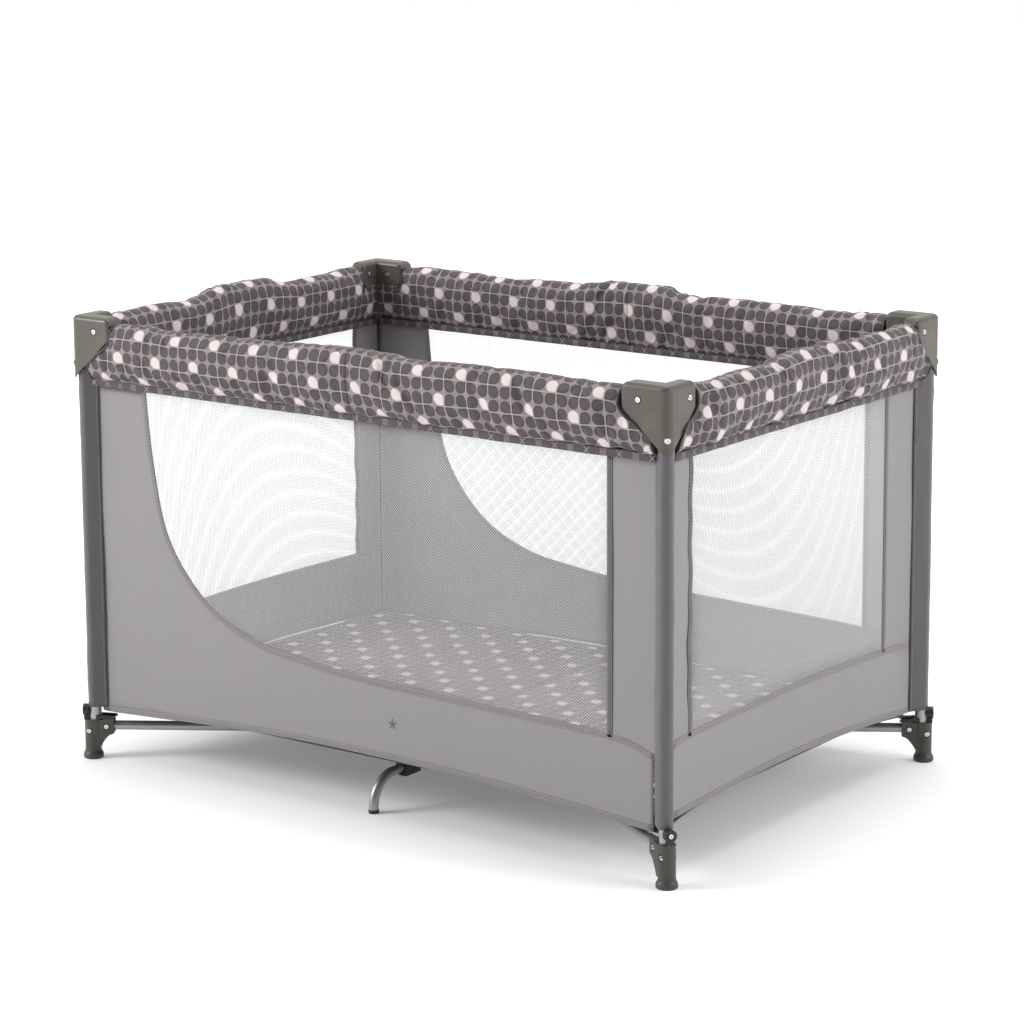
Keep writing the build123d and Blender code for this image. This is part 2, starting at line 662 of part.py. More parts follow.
def make_leg_fittings(sy, name):
    """Rubber cap under a centre leg, and the flat-bottomed collar on its level run."""
    plane = leg_plane(sy)
    with BuildPart() as fittings:
        with BuildSketch(Plane((0, sy * LEG_FOOT_Y, 0.3))):
            Circle(LEG_CAP_R)
        extrude(amount=5.0)
        with BuildSketch(Plane((0, sy * LEG_FOOT_Y, 1.0))):
            Circle(ARM_R + 0.02)
        extrude(amount=8.0, mode=Mode.SUBTRACT)
        with BuildSketch(plane):
            with BuildLine():
                Polyline((COLLAR_TO, BASE_Z - 11), (COLLAR_FROM - 6, BASE_Z - 11), (COLLAR_FROM, BASE_Z - 9),
                         (COLLAR_FROM - 8, BASE_Z + 9), (COLLAR_TO + 4, BASE_Z + 9), close=True)
            make_face()
        extrude(amount=9.5, both=True)
        before = plane.from_local_coords((COLLAR_TO - 9, BASE_Z, 0))
        with BuildSketch(Plane(origin=before, z_dir=plane.x_dir)):
            Circle(ARM_R + 0.02)
        extrude(amount=60, mode=Mode.SUBTRACT)
    save(fittings, f"leg_fittings_{name}")


# ---------------------------------------------------------------- soft goods

def make_wall(side, along_x, sign):
    across = WALL_Y if along_x else WALL_X
    reach = WALL_END_X if along_x else WALL_END_Y
    with BuildPart() as wall:
        with BuildSketch(side_plane(along_x, sign, across)):
            with BuildLine():
                hem = ThreePointArc((-reach, HEM_END), (0, HEM_MID), (reach, HEM_END))
                Polyline(hem @ 1, (reach, WALL_TOP), (-reach, WALL_TOP), hem @ 0)
            make_face()
        extrude(amount=WALL_HALF, both=True)
    save(wall, f"wall_{side}")


def make_mattress():
    with BuildPart() as mattress:
        with BuildSketch(Plane.XY.offset(MAT_LOW)):
            RectangleRounded(2 * MAT_X, 2 * MAT_Y, MAT_CORNER)
        extrude(amount=MAT_HIGH - MAT_LOW)
        fillet(mattress.faces().sort_by(Axis.Z)[-1].edges(), MAT_EDGE_R)
        fillet(mattress.faces().sort_by(Axis.Z)[0].edges(), MAT_EDGE_R)
    save(mattress, "mattress")


for corner_name, (sign_x, sign_y) in CORNERS.items():
    make_post(sign_x, sign_y, corner_name)
    make_sleeve(sign_x, sign_y, corner_name)
    make_cap(sign_x, sign_y, corner_name)
    make_foot(sign_x, sign_y, corner_name)
    make_screws(sign_x, sign_y, corner_name)
    make_arm(sign_x, sign_y, corner_name)

for side_name, runs_x, outward, halves in side_parts():
    for half_name, end_sign in halves:
        make_rail(side_name, runs_x, outward, half_name, end_sign)
        make_cover(side_name, runs_x, outward, half_name, end_sign)
    make_lock(side_name, runs_x, outward)
    make_button(side_name, runs_x, outward)
    make_wall(side_name, runs_x, outward)

make_hub()
for leg_name, leg_sign in (("front", -1), ("back", 1)):
    make_leg(leg_sign, leg_name)
    make_leg_fittings(leg_sign, leg_name)
make_mattress()
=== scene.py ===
"""Looks of a folding playpen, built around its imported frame. Metres, +Z up, the long sides along X."""

import math

import bmesh
import bpy
import numpy as np
from mathutils import Matrix, Vector, noise


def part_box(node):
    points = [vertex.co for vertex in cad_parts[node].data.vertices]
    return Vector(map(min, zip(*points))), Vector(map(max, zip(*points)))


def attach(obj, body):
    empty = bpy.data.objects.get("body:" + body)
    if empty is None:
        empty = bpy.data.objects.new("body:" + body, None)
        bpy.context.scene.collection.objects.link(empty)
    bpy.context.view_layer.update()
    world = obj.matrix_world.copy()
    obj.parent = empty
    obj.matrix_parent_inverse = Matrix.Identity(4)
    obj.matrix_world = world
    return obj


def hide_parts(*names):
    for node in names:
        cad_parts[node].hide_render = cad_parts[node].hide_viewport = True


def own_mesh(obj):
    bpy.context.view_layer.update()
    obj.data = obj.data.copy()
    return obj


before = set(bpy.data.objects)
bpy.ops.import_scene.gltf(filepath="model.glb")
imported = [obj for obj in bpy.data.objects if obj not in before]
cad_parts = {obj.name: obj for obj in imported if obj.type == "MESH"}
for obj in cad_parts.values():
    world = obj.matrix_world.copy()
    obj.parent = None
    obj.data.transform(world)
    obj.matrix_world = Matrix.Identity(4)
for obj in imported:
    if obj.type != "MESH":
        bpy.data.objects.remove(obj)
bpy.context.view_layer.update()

# ---------------------------------------------------------------- sizes taken from the frame


def middle(node):
    low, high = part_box(node)
    return (low + high) / 2


POST_X = middle("post_front_right").x
POST_Y = middle("post_back_right").y
RAIL_Z = middle("rail_front_left").z
WALL_X = middle("wall_right").x
WALL_Y = middle("wall_back").y
CAP_LOW, CAP_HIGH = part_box("corner_cap_front_left")
CAP_HALF_X, CAP_HALF_Y = -CAP_LOW.x - POST_X, -CAP_LOW.y - POST_Y
WING_LONG, WING_SHORT = POST_X + CAP_HIGH.x, POST_Y + CAP_HIGH.y
MAT_LOW, MAT_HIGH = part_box("mattress")[0].z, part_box("mattress")[1].z
MAT_X, MAT_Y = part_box("mattress")[1].x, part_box("mattress")[1].y
SLEEVE_LOW, SLEEVE_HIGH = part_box("sleeve_front_left")[0].z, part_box("sleeve_front_left")[1].z
SLEEVE_R = (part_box("sleeve_front_left")[1].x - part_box("sleeve_front_left")[0].x) / 2

# Cloth and trim
CLOTH = 0.0008
BINDING = 0.0095
BINDING_THICK = 0.0026
WALL_SHIFT = 0.0005
NET_PITCH = 0.0030
YARN_WIDE = 0.00070
YARN_THICK = 0.00085
PETAL = 0.01825
STITCH_LONG = 0.0030
STITCH_GAP = 0.0046
STITCH_WIDE = 0.0007

# Short distances that keep cloth and cords just clear of what is beside them
CLEAR = 0.0012
LAP = 0.0010
END_X = WALL_X - CLEAR
END_Y = WALL_Y - CLEAR

CORNERS = {
    "front_left": (-1, -1),
    "front_right": (1, -1),
    "back_left": (-1, 1),
    "back_right": (1, 1),
}


class Side:
    """One side of the pen: a plane to draw on, with along to the right as seen from outside."""

    def __init__(self, name, along, outward, reach, wall, rail, body, halves):
        self.name, self.body, self.halves = name, body, halves
        self.along, self.outward = Vector(along), Vector(outward)
        self.reach, self.wall, self.rail = reach, wall, rail
        self.is_long = abs(self.along.x) > 0.5

    def at(self, along, out, z):
        """The point at a distance along the side and out from its wall's plane, at a height."""
        return self.along * along + self.outward * (self.wall + out) + Vector((0, 0, z))

    def squash(self, piece):
        """Gives a wall piece a mesh of its own; long and short sides are treated alike."""
        if self.is_long:
            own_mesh(piece)
        else:
            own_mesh(piece)


SIDES = [
    Side("front", (1, 0, 0), (0, -1, 0), END_X, WALL_Y, POST_Y, "post_front_left", ("left", "right")),
    Side("back", (-1, 0, 0), (0, 1, 0), END_X, WALL_Y, POST_Y, "post_back_left", ("right", "left")),
    Side("left", (0, -1, 0), (-1, 0, 0), END_Y, WALL_X, POST_X, "post_front_left", ("back", "front")),
    Side("right", (0, 1, 0), (1, 0, 0), END_Y, WALL_X, POST_X, "post_front_right", ("front", "back")),
]

# ---------------------------------------------------------------- camera, light and floor


def link(name, data):
    """A new object in the scene's own collection."""
    made = bpy.data.objects.new(name, data)
    bpy.context.scene.collection.objects.link(made)
    return made


def place_camera():
    azimuth, elevation, roll = math.radians(36.05), math.radians(10.62), math.radians(-0.34)
    flat = math.cos(elevation)
    back = Vector((math.sin(azimuth) * flat, -math.cos(azimuth) * flat, math.sin(elevation)))
    right = Vector((math.cos(azimuth), math.sin(azimuth), 0))
    up = back.cross(right)
    right, up = math.cos(roll) * right + math.sin(roll) * up, math.cos(roll) * up - math.sin(roll) * right
    camera = link("camera", bpy.data.cameras.new("camera"))
    camera.matrix_world = Matrix((right, up, back)).transposed().to_4x4()
    camera.location = (2.734, -3.7375, 1.4132)
    camera.data.lens = 113.06
    camera.data.sensor_width = 36
    camera.data.shift_y = -0.109
    bpy.context.scene.camera = camera


def add_area(name, location, size, power, target=(0, 0, 0.3)):
    light = bpy.data.lights.new(name, "AREA")
    light.shape, light.size, light.energy = "DISK", size, power
    lamp = link(name, light)
    lamp.location = location
    lamp.rotation_euler = (Vector(target) - Vector(location)).to_track_quat("-Z", "Y").to_euler()


def light_studio():
    """A pale room that is dimmer behind the camera, so that smooth surfaces show a dark core."""
    world = bpy.data.worlds.new("studio")
    bpy.context.scene.world = world
    world.use_nodes = True
    nodes = Nodes(world.node_tree)
    view = nodes.add("ShaderNodeTexCoord", out="Generated")
    sockets = {0: view, 1: (0.575, -0.79, 0.2)}
    towards = nodes.add("ShaderNodeVectorMath", {"operation": "DOT_PRODUCT"}, sockets, out="Value")
    room = nodes.mix(towards.step(0.30, 0.92), (1.0, 1.0, 1.0), (0.10, 0.10, 0.10))
    background = world.node_tree.nodes["Background"]
    world.node_tree.links.new(room.output, background.inputs["Color"])
    background.inputs["Strength"].default_value = 1.0
    add_area("key", (-3.0, -3.0, 2.4), 1.8, 116)
    add_area("fill", (4.0, 0.9, 1.9), 1.8, 54)
    add_area("top", (0.2, 0.4, 3.6), 2.6, 48)
    bpy.context.scene.view_settings.view_transform = "Standard"


def lay_floor():
    mesh = bpy.data.meshes.new("studio_floor")
    half = 14.0
    corners = [(-half, -half, 0), (half, -half, 0), (half, half, 0), (-half, half, 0)]
    mesh.from_pydata(corners, [], [(0, 1, 2, 3)])
    floor = link("studio_floor", mesh)
    return floor


# ---------------------------------------------------------------- shader maths


class Wire:
    """The output of a shader node. Arithmetic on it adds Math nodes to its finish."""

    def __init__(self, finish, output):
        self.finish, self.output = finish, output

    def maths(self, operation, *others):
        sockets = dict(enumerate((self, *others)))
        return self.finish.add("ShaderNodeMath", {"operation": operation}, sockets)

    def __add__(self, other):
        return self.maths("ADD", other)

    __radd__ = __add__

    def __sub__(self, other):
        return self.maths("SUBTRACT", other)

    def __rsub__(self, other):
        return self.finish.add("ShaderNodeMath", {"operation": "SUBTRACT"}, {0: other, 1: self})

    def __mul__(self, other):
        return self.maths("MULTIPLY", other)

    __rmul__ = __mul__

    def __truediv__(self, other):
        return self.maths("DIVIDE", other)

    def __gt__(self, other):
        return self.maths("GREATER_THAN", other)

    def floor(self):
        return self.maths("FLOOR")

    def modulo(self, other):
        return self.maths("FLOORED_MODULO", other)

    def size(self):
        return self.maths("ABSOLUTE")

    def most(self, other):
        return self.maths("MAXIMUM", other)

    def least(self, other):
        return self.maths("MINIMUM", other)

    def step(self, low, high):
        """0 below low and 1 above high, with a smooth change between."""
        sockets = {"Value": self, "From Min": low, "From Max": high}
        return self.finish.add("ShaderNodeMapRange", {"interpolation_type": "SMOOTHSTEP"}, sockets)


class Nodes:
    """A shader node tree. Every node in it is made by add()."""

    def __init__(self, tree):
        self.tree = tree

    def add(self, kind, settings=None, sockets=None, out=0):
        node = self.tree.nodes.new(kind)
        for key, value in (settings or {}).items():
            setattr(node, key, value)
        for key, value in (sockets or {}).items():
            if isinstance(value, Wire):
                self.tree.links.new(value.output, node.inputs[key])
            else:
                node.inputs[key].default_value = value
        return Wire(self, node.outputs[out])

    def mix(self, factor, first, second):
        """A colour between two, each a colour or a wire."""
        first, second = [(*c, 1) if isinstance(c, tuple) and len(c) == 3 else c for c in (first, second)]
        return self.add("ShaderNodeMix", {"data_type": "RGBA"}, {0: factor, 6: first, 7: second}, out=2)


class Finish(Nodes):
    """One procedural material."""

    def __init__(self, name, colour, roughness, metallic=0.0, **steady):
        self.material = bpy.data.materials.new(name)
        self.material.use_nodes = True
        super().__init__(self.material.node_tree)
        self.shader = self.tree.nodes["Principled BSDF"]
        self.set("Base Color", (*colour, 1))
        self.set("Roughness", roughness)
        self.set("Metallic", metallic)
        for socket, value in steady.items():
            self.set(socket.replace("_", " "), value)

    def set(self, socket, value):
        target = self.shader.inputs[socket]
        if isinstance(value, Wire):
            self.tree.links.new(value.output, target)
        else:
            target.default_value = value

    def place(self):
        return self.add("ShaderNodeTexCoord", out="Object")

    def cloth_place(self):
        """The piece's own UV map, which is in metres along and across the cloth."""
        return self.add("ShaderNodeUVMap", {"uv_map": "cloth"})

    def axes(self, vector):
        """A vector's x, y and z."""
        return [self.add("ShaderNodeSeparateXYZ", None, {0: vector}, out=i) for i in range(3)]

    def vector(self, x, y, z=0.0):
        return self.add("ShaderNodeCombineXYZ", None, {0: x, 1: y, 2: z})

    def noise(self, vector, scale, detail=3.0, roughness=0.55):
        sockets = {"Vector": vector, "Scale": scale, "Detail": detail, "Roughness": roughness}
        return self.add("ShaderNodeTexNoise", None, sockets)

    def bump(self, height, depth, strength=1.0):
        sockets = {"Height": height, "Distance": depth, "Strength": strength}
        self.set("Normal", self.add("ShaderNodeBump", None, sockets))


# ---------------------------------------------------------------- finishes

PETAL_DARK = (0.052, 0.039, 0.044)
PETAL_RIM = (0.020, 0.014, 0.017)
GROUND = (0.225, 0.180, 0.190)
PALE_LINE = (0.430, 0.375, 0.380)
CREAM = (0.680, 0.592, 0.575)


def weave_height(finish, cloth, pitch):
    """Plain weave: raised threads crossing at a pitch, from 0 to 1."""
    u, v, _ = finish.axes(cloth)
    turn = 2 * math.pi / pitch
    across = (u * turn).maths("SINE")
    down = (v * turn).maths("SINE")
    return (across * down) * 0.5 + 0.5


def clover_print(finish, cloth, turned=False):
    """Four-petal clovers on a mauve ground. A petal's one sharp corner is at its clover's centre."""
    u, v, _ = finish.axes(cloth)
    if turned:
        u, v = (u + v) * 0.7071, (v - u) * 0.7071
    across, down = u / PETAL, v / PETAL
    column, row = across.floor(), down.floor()
    odd_column, odd_row = column.modulo(2.0), row.modulo(2.0)
    x = (across - column - 0.5) * (1 - 2 * odd_column)
    y = (down - row - 0.5) * (1 - 2 * odd_row)
    sharp = (x > 0) * (y > 0)
    half, corner = 0.445, 0.42 - sharp * 0.34
    dx = x.size() - half + corner
    dy = y.size() - half + corner
    outside = (dx.most(0.0) * dx.most(0.0) + dy.most(0.0) * dy.most(0.0)).maths("SQRT")
    edge = outside + dx.most(dy).least(0.0) - corner
    petal = 1 - edge.step(-0.025, 0.02)
    rim = edge.step(-0.13, -0.04)
    line = 1 - (0.5 - x.most(y)).step(0.012, 0.045)
    clover = (column / 2.0).floor() + (row / 2.0).floor()
    pale = (1 - clover.modulo(2.0)) * (1 - odd_column) * odd_row
    fill = finish.mix(rim, PETAL_DARK, PETAL_RIM)
    fill = finish.mix(pale.least(1.0), fill, CREAM)
    ground = finish.mix(line * 0.7, GROUND, PALE_LINE)
    return finish.mix(petal, ground, fill)


def printed_finish(name, turned=False):
    finish = Finish(name, PETAL_DARK, 0.62, Sheen_Weight=0.08, Sheen_Roughness=0.5)
    cloth = finish.cloth_place()
    colour = clover_print(finish, cloth, turned)
    wear = finish.noise(cloth, 34.0).step(0.3, 0.7)
    weave = weave_height(finish, cloth, 0.0011)
    if turned:
        colour = finish.mix(finish.noise(cloth, 60.0).step(0.2, 0.9) * 0.3 + 0.35, colour, PETAL_DARK)
    shade = finish.mix(0.03 * wear + 0.05 * weave, colour, (0.30, 0.27, 0.28))
    finish.set("Base Color", shade)
    finish.set("Roughness", 0.54 + 0.16 * wear)
    finish.bump(weave, 0.00025, 0.6)
    return finish.material


def plain_cloth(name, colour, light, roughness=0.66, pitch=0.0010, sheen=0.25):
    """Woven polyester: fine weave, slight streaks along the thread and soft blotches."""
    finish = Finish(name, colour, roughness, Sheen_Weight=sheen, Sheen_Roughness=0.45)
    cloth = finish.cloth_place()
    u, v, _ = finish.axes(cloth)
    streak = finish.noise(finish.vector(u * 900.0, v * 24.0), 1.0, 2.0)
    blotch = finish.noise(cloth, 9.0)
    weave = weave_height(finish, cloth, pitch)
    mixed = finish.mix((0.45 * streak + 0.35 * blotch + 0.25 * weave).least(1.0), colour, light)
    finish.set("Base Color", mixed)
    finish.set("Roughness", roughness - 0.08 + 0.16 * blotch)
    finish.bump(weave + 0.5 * streak, 0.0002, 0.5)
    return finish.material


def moulded_plastic(name, colour, light, roughness, grain=900.0):
    """Fine spark-eroded grain, with paler rubbed patches."""
    finish = Finish(name, colour, roughness)
    place = finish.place()
    fine = finish.noise(place, grain, 2.0)
    rubbed = finish.noise(place, 26.0, 4.0).step(0.45, 0.8)
    finish.set("Base Color", finish.mix(0.5 * rubbed, colour, light))
    finish.set("Roughness", roughness - 0.10 * rubbed + 0.06 * fine)
    finish.bump(fine, 0.00012, 0.35)
    return finish.material


def coated_tube(name, colour):
    """Silver powder coat: a faint orange-peel surface and fine metal flake."""
    finish = Finish(name, colour, 0.32, 0.75)
    place = finish.place()
    peel = finish.noise(place, 380.0, 2.0)
    flake = finish.noise(place, 2600.0, 1.0).step(0.52, 0.7)
    finish.set("Base Color", finish.mix(0.35 * flake, colour, (0.80, 0.81, 0.83)))
    finish.set("Roughness", 0.28 + 0.14 * peel)
    finish.bump(peel, 0.00012, 0.4)
    return finish.material


def bright_metal(name):
    finish = Finish(name, (0.56, 0.56, 0.55), 0.16, 1.0)
    place = finish.place()
    scratch = finish.noise(place, 420.0, 4.0)
    finish.set("Roughness", 0.10 + 0.20 * scratch)
    finish.bump(scratch, 0.00005, 0.3)
    return finish.material


def foot_finish():
    """Dark olive moulding with a black stop tab across the top of its ear."""
    finish = Finish("foot_moulding", (0.065, 0.062, 0.054), 0.5)
    place = finish.place()
    _, _, z = finish.axes(place)
    tab = z.step(0.0610, 0.0614)
    fine = finish.noise(place, 900.0, 2.0)
    rubbed = finish.noise(place, 26.0, 4.0).step(0.4, 0.8)
    olive = finish.mix(0.5 * rubbed, (0.050, 0.047, 0.039), (0.085, 0.081, 0.070))
    finish.set("Base Color", finish.mix(tab, olive, (0.012, 0.012, 0.013)))
    finish.set("Roughness", 0.48 - 0.10 * rubbed + 0.06 * fine)
    finish.bump(fine, 0.00012, 0.35)
    return finish.material


def net_finish():
    finish = Finish("net_yarn", (0.80, 0.80, 0.80), 0.6, Sheen_Weight=0.2)
    place = finish.place()
    twist = finish.noise(place, 900.0, 1.0)
    finish.set("Base Color", finish.mix(twist, (0.62, 0.62, 0.62), (0.86, 0.86, 0.86)))
    finish.bump(twist, 0.0001, 0.4)
    return finish.material


def studio_finish():
    finish = Finish("studio_paper", (0.86, 0.86, 0.86), 0.9, Emission_Strength=1.0)
    place = finish.place()
    x, y, _ = finish.axes(place)
    # The floor glows with painted light: faint beside the pen and stronger far from it, so the floor fades to
    # white and the pen's shadow on it is lightened.
    away = (x * x + y * y).maths("SQRT").step(0.5, 2.6)
    finish.set("Emission Color", finish.mix(away, (0.16, 0.16, 0.16), (0.55, 0.55, 0.55)))
    finish.set("Base Color", finish.mix(finish.noise(place, 3.0), (0.85, 0.85, 0.85), (0.87, 0.87, 0.87)))
    return finish.material


PRINT = printed_finish("clover_print")
PRINT_BIAS = printed_finish("clover_print_on_the_bias", turned=True)
WALL_CLOTH = plain_cloth("grey_wall_cloth", (0.225, 0.212, 0.222), (0.290, 0.275, 0.285))
SLEEVE_CLOTH = plain_cloth("dark_sleeve_cloth", (0.074, 0.069, 0.077), (0.115, 0.108, 0.118), 0.32, sheen=0.2)
BINDING_CLOTH = plain_cloth("mauve_binding", (0.170, 0.156, 0.164), (0.230, 0.212, 0.222), 0.6)
DARK_BINDING = plain_cloth("dark_binding", (0.075, 0.070, 0.071), (0.120, 0.112, 0.115), 0.55)
PIPING_CLOTH = plain_cloth("black_piping", (0.014, 0.012, 0.013), (0.034, 0.030, 0.032), 0.40)
# The floor cloth's near-black colour is painted shade: it darkens the cloth where it shows under the hems and
# dips at the corners, where shade falls.
FLOOR_CLOTH_PAINTED_SHADE = plain_cloth("floor_cloth", (0.045, 0.042, 0.045), (0.075, 0.070, 0.075), 0.7)
THREAD = plain_cloth("grey_thread", (0.380, 0.360, 0.365), (0.480, 0.455, 0.462), 0.5, pitch=0.0006)
DARK_THREAD = plain_cloth("dark_thread", (0.020, 0.018, 0.020), (0.045, 0.041, 0.045), 0.5, pitch=0.0006)
CAP_PLASTIC = moulded_plastic("olive_cap_moulding", (0.082, 0.070, 0.056), (0.122, 0.106, 0.086), 0.34)
BLACK_PLASTIC = moulded_plastic("black_moulding", (0.012, 0.012, 0.013), (0.030, 0.030, 0.031), 0.42)
BUTTON_PLASTIC = moulded_plastic("button_moulding", (0.30, 0.045, 0.030), (0.42, 0.08, 0.06), 0.38)
TUBE = coated_tube("silver_tube", (0.34, 0.35, 0.37))
SCREW_METAL = bright_metal("polished_screw")
NET_YARN = net_finish()
FOOT_PLASTIC = foot_finish()

NODE_FINISHES = {
    "post_": TUBE,
    "rail_": TUBE,
    "arm_": TUBE,
    "leg_": TUBE,
    "leg_fittings_": BLACK_PLASTIC,
    "hub": BLACK_PLASTIC,
    "lock_": BLACK_PLASTIC,
    "lock_button_": BUTTON_PLASTIC,
    "corner_cap_": CAP_PLASTIC,
    "foot_": FOOT_PLASTIC,
    "screws_": SCREW_METAL,
}


def finish_frame():
    """Each CAD node takes the finish of the longest name that starts its own."""
    for name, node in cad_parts.items():
        fitting = [start for start in NODE_FINISHES if name.startswith(start)]
        if fitting:
            node.data.materials.clear()
            node.data.materials.append(NODE_FINISHES[max(fitting, key=len)])


# ---------------------------------------------------------------- mesh helpers


def smooth_step(share):
    """0 below 0 and 1 above 1, with a smooth change between."""
    share = np.clip(share, 0, 1)
    return share * share * (3 - 2 * share)


def distance_along(line):
    """How far along a line each of its points is."""
    return np.concatenate([[0], np.cumsum(np.linalg.norm(np.diff(line, axis=0), axis=1))])


def directions(line):
    """The unit tangent at each point of a line."""
    tangent = np.gradient(line, axis=0)
    return tangent / np.linalg.norm(tangent, axis=1)[:, None]


def grid_faces(rows, columns):
    """The quads of a grid of points, and the points' numbers."""
    index = np.arange(rows * columns).reshape(rows, columns)
    corners = [index[:-1, :-1], index[1:, :-1], index[1:, 1:], index[:-1, 1:]]
    return np.stack(corners, -1).reshape(-1, 4), index


def make_piece(name, points, faces, material, uv=None):
    mesh = bpy.data.meshes.new(name)
    mesh.from_pydata([tuple(p) for p in points], [], faces)
    if uv is not None:
        layer = mesh.uv_layers.new(name="cloth")
        corner = np.zeros(len(mesh.loops), np.int32)
        mesh.loops.foreach_get("vertex_index", corner)
        layer.data.foreach_set("uv", np.asarray(uv, np.float32)[corner].ravel())
    mesh.polygons.foreach_set("use_smooth", [True] * len(mesh.polygons))
    mesh.materials.append(material)
    return link(name, mesh)


def face_outwards(piece):
    shape = bmesh.new()
    shape.from_mesh(piece.data)
    bmesh.ops.recalc_face_normals(shape, faces=shape.faces)
    shape.to_mesh(piece.data)
    shape.free()


def slab(name, front, back, uv, material):
    """A thin closed sheet between two grids of points."""
    rows, columns = front.shape[:2]
    count = rows * columns
    faces, index = grid_faces(rows, columns)
    behind = faces[:, ::-1] + count
    rim = np.concatenate([index[:, 0], index[-1, 1:], index[-2::-1, -1], index[0, -2:0:-1]])
    following = np.roll(rim, -1)
    edge = np.stack([following, rim, rim + count, following + count], -1)
    points = np.concatenate([front.reshape(-1, 3), back.reshape(-1, 3)])
    both = np.concatenate([uv.reshape(-1, 2)] * 2)
    piece = make_piece(name, points, np.concatenate([faces, behind, edge]).tolist(), material, both)
    face_outwards(piece)
    return piece


def smooth_line(points, step):
    """Evenly spaced points on a smooth curve through the given ones."""
    points = np.asarray(points, float)
    padded = np.concatenate([[2 * points[0] - points[1]], points, [2 * points[-1] - points[-2]]])
    dense = []
    for p0, p1, p2, p3 in zip(padded, padded[1:], padded[2:], padded[3:]):
        for t in np.linspace(0, 1, 24, endpoint=False):
            dense.append(0.5 * (2 * p1 + (p2 - p0) * t + (2 * p0 - 5 * p1 + 4 * p2 - p3) * t**2
                                + (3 * p1 - p0 - 3 * p2 + p3) * t**3))
    dense = np.array(dense + [points[-1]])
    run = distance_along(dense)
    even = np.linspace(0, run[-1], max(2, round(run[-1] / step) + 1))
    return np.stack([np.interp(even, run, column) for column in dense.T], -1)


def sweep(name, path, normal, outline, material):
    """A closed bar along a path. Its outline is drawn across the path and along the normal."""
    path = np.asarray(path, float)
    tangent = directions(path)
    normal = np.broadcast_to(np.asarray(normal, float), path.shape)
    across = np.cross(normal, tangent)
    across /= np.linalg.norm(across, axis=1)[:, None]
    out = np.cross(tangent, across)
    sides = len(outline)
    rings = [path + a * across + o * out for a, o in outline]
    points = np.stack(rings, 1).reshape(-1, 3)
    uv = np.stack(np.meshgrid(distance_along(path), [a for a, _ in outline], indexing="ij"), -1)
    faces = []
    for i in range(len(path) - 1):
        for j in range(sides):
            k = (j + 1) % sides
            faces.append((i * sides + j, i * sides + k, (i + 1) * sides + k, (i + 1) * sides + j))
    faces.append(tuple(range(sides - 1, -1, -1)))
    faces.append(tuple(range((len(path) - 1) * sides, len(path) * sides)))
    piece = make_piece(name, points, faces, material, uv.reshape(-1, 2))
    face_outwards(piece)
    return piece


def flat_tape(width, thick):
    """Outline of a binding tape with softly rounded edges."""
    w, t = width / 2, thick / 2
    return [(-w, -t * 0.5), (-w * 0.86, -t), (w * 0.86, -t), (w, -t * 0.5),
            (w, t * 0.5), (w * 0.86, t), (-w * 0.86, t), (-w, t * 0.5)]


def round_cord(radius, sides=8):
    return [(radius * math.cos(2 * math.pi * i / sides), radius * math.sin(2 * math.pi * i / sides))
            for i in range(sides)]


def join(pieces, name):
    """Several meshes made one piece, keeping their materials."""
    bpy.ops.object.select_all(action="DESELECT")
    for piece in pieces:
        piece.select_set(True)
    bpy.context.view_layer.objects.active = pieces[0]
    bpy.ops.object.join()
    pieces[0].name = name
    return pieces[0]


def ripple(points, seed, scale, height):
    """Smooth seeded noise at each point, from about -height to height."""
    shift = Vector((seed * 7.3, seed * 3.1, seed * 5.7))
    return np.array([noise.noise(Vector(p) * scale + shift) for p in points]) * height * 1.6


# ---------------------------------------------------------------- stitches


def stitch_tree():
    """Geometry Nodes: short rounded stitches laid end to end along every spline of a curve."""
    tree = bpy.data.node_groups.new("lay_stitches", "GeometryNodeTree")
    face = tree.interface
    face.new_socket("Geometry", in_out="INPUT", socket_type="NodeSocketGeometry")
    for label in ("Spacing", "Length", "Width"):
        face.new_socket(label, in_out="INPUT", socket_type="NodeSocketFloat")
    face.new_socket("Thread", in_out="INPUT", socket_type="NodeSocketMaterial")
    face.new_socket("Geometry", in_out="OUTPUT", socket_type="NodeSocketGeometry")
    new, link = tree.nodes.new, tree.links.new
    inputs, result = new("NodeGroupInput"), new("NodeGroupOutput")
    spread = new("GeometryNodeCurveToPoints")
    spread.mode = "LENGTH"
    thread = new("GeometryNodeMeshUVSphere")
    thread.inputs["Segments"].default_value = 6
    thread.inputs["Rings"].default_value = 4
    thread.inputs["Radius"].default_value = 0.5
    stretch = new("ShaderNodeCombineXYZ")
    place, real, paint = (new("GeometryNodeInstanceOnPoints"), new("GeometryNodeRealizeInstances"),
                          new("GeometryNodeSetMaterial"))
    turn = new("FunctionNodeAlignRotationToVector")
    turn.axis = "X"
    link(inputs.outputs["Geometry"], spread.inputs["Curve"])
    link(inputs.outputs["Spacing"], spread.inputs["Length"])
    link(inputs.outputs["Length"], stretch.inputs["X"])
    link(inputs.outputs["Width"], stretch.inputs["Y"])
    link(inputs.outputs["Width"], stretch.inputs["Z"])
    link(spread.outputs["Tangent"], turn.inputs["Vector"])
    link(spread.outputs["Points"], place.inputs["Points"])
    link(thread.outputs["Mesh"], place.inputs["Instance"])
    link(turn.outputs["Rotation"], place.inputs["Rotation"])
    link(stretch.outputs["Vector"], place.inputs["Scale"])
    link(place.outputs["Instances"], real.inputs["Geometry"])
    link(real.outputs["Geometry"], paint.inputs["Geometry"])
    link(inputs.outputs["Thread"], paint.inputs["Material"])
    link(paint.outputs["Geometry"], result.inputs["Geometry"])
    return tree


STITCHES = stitch_tree()


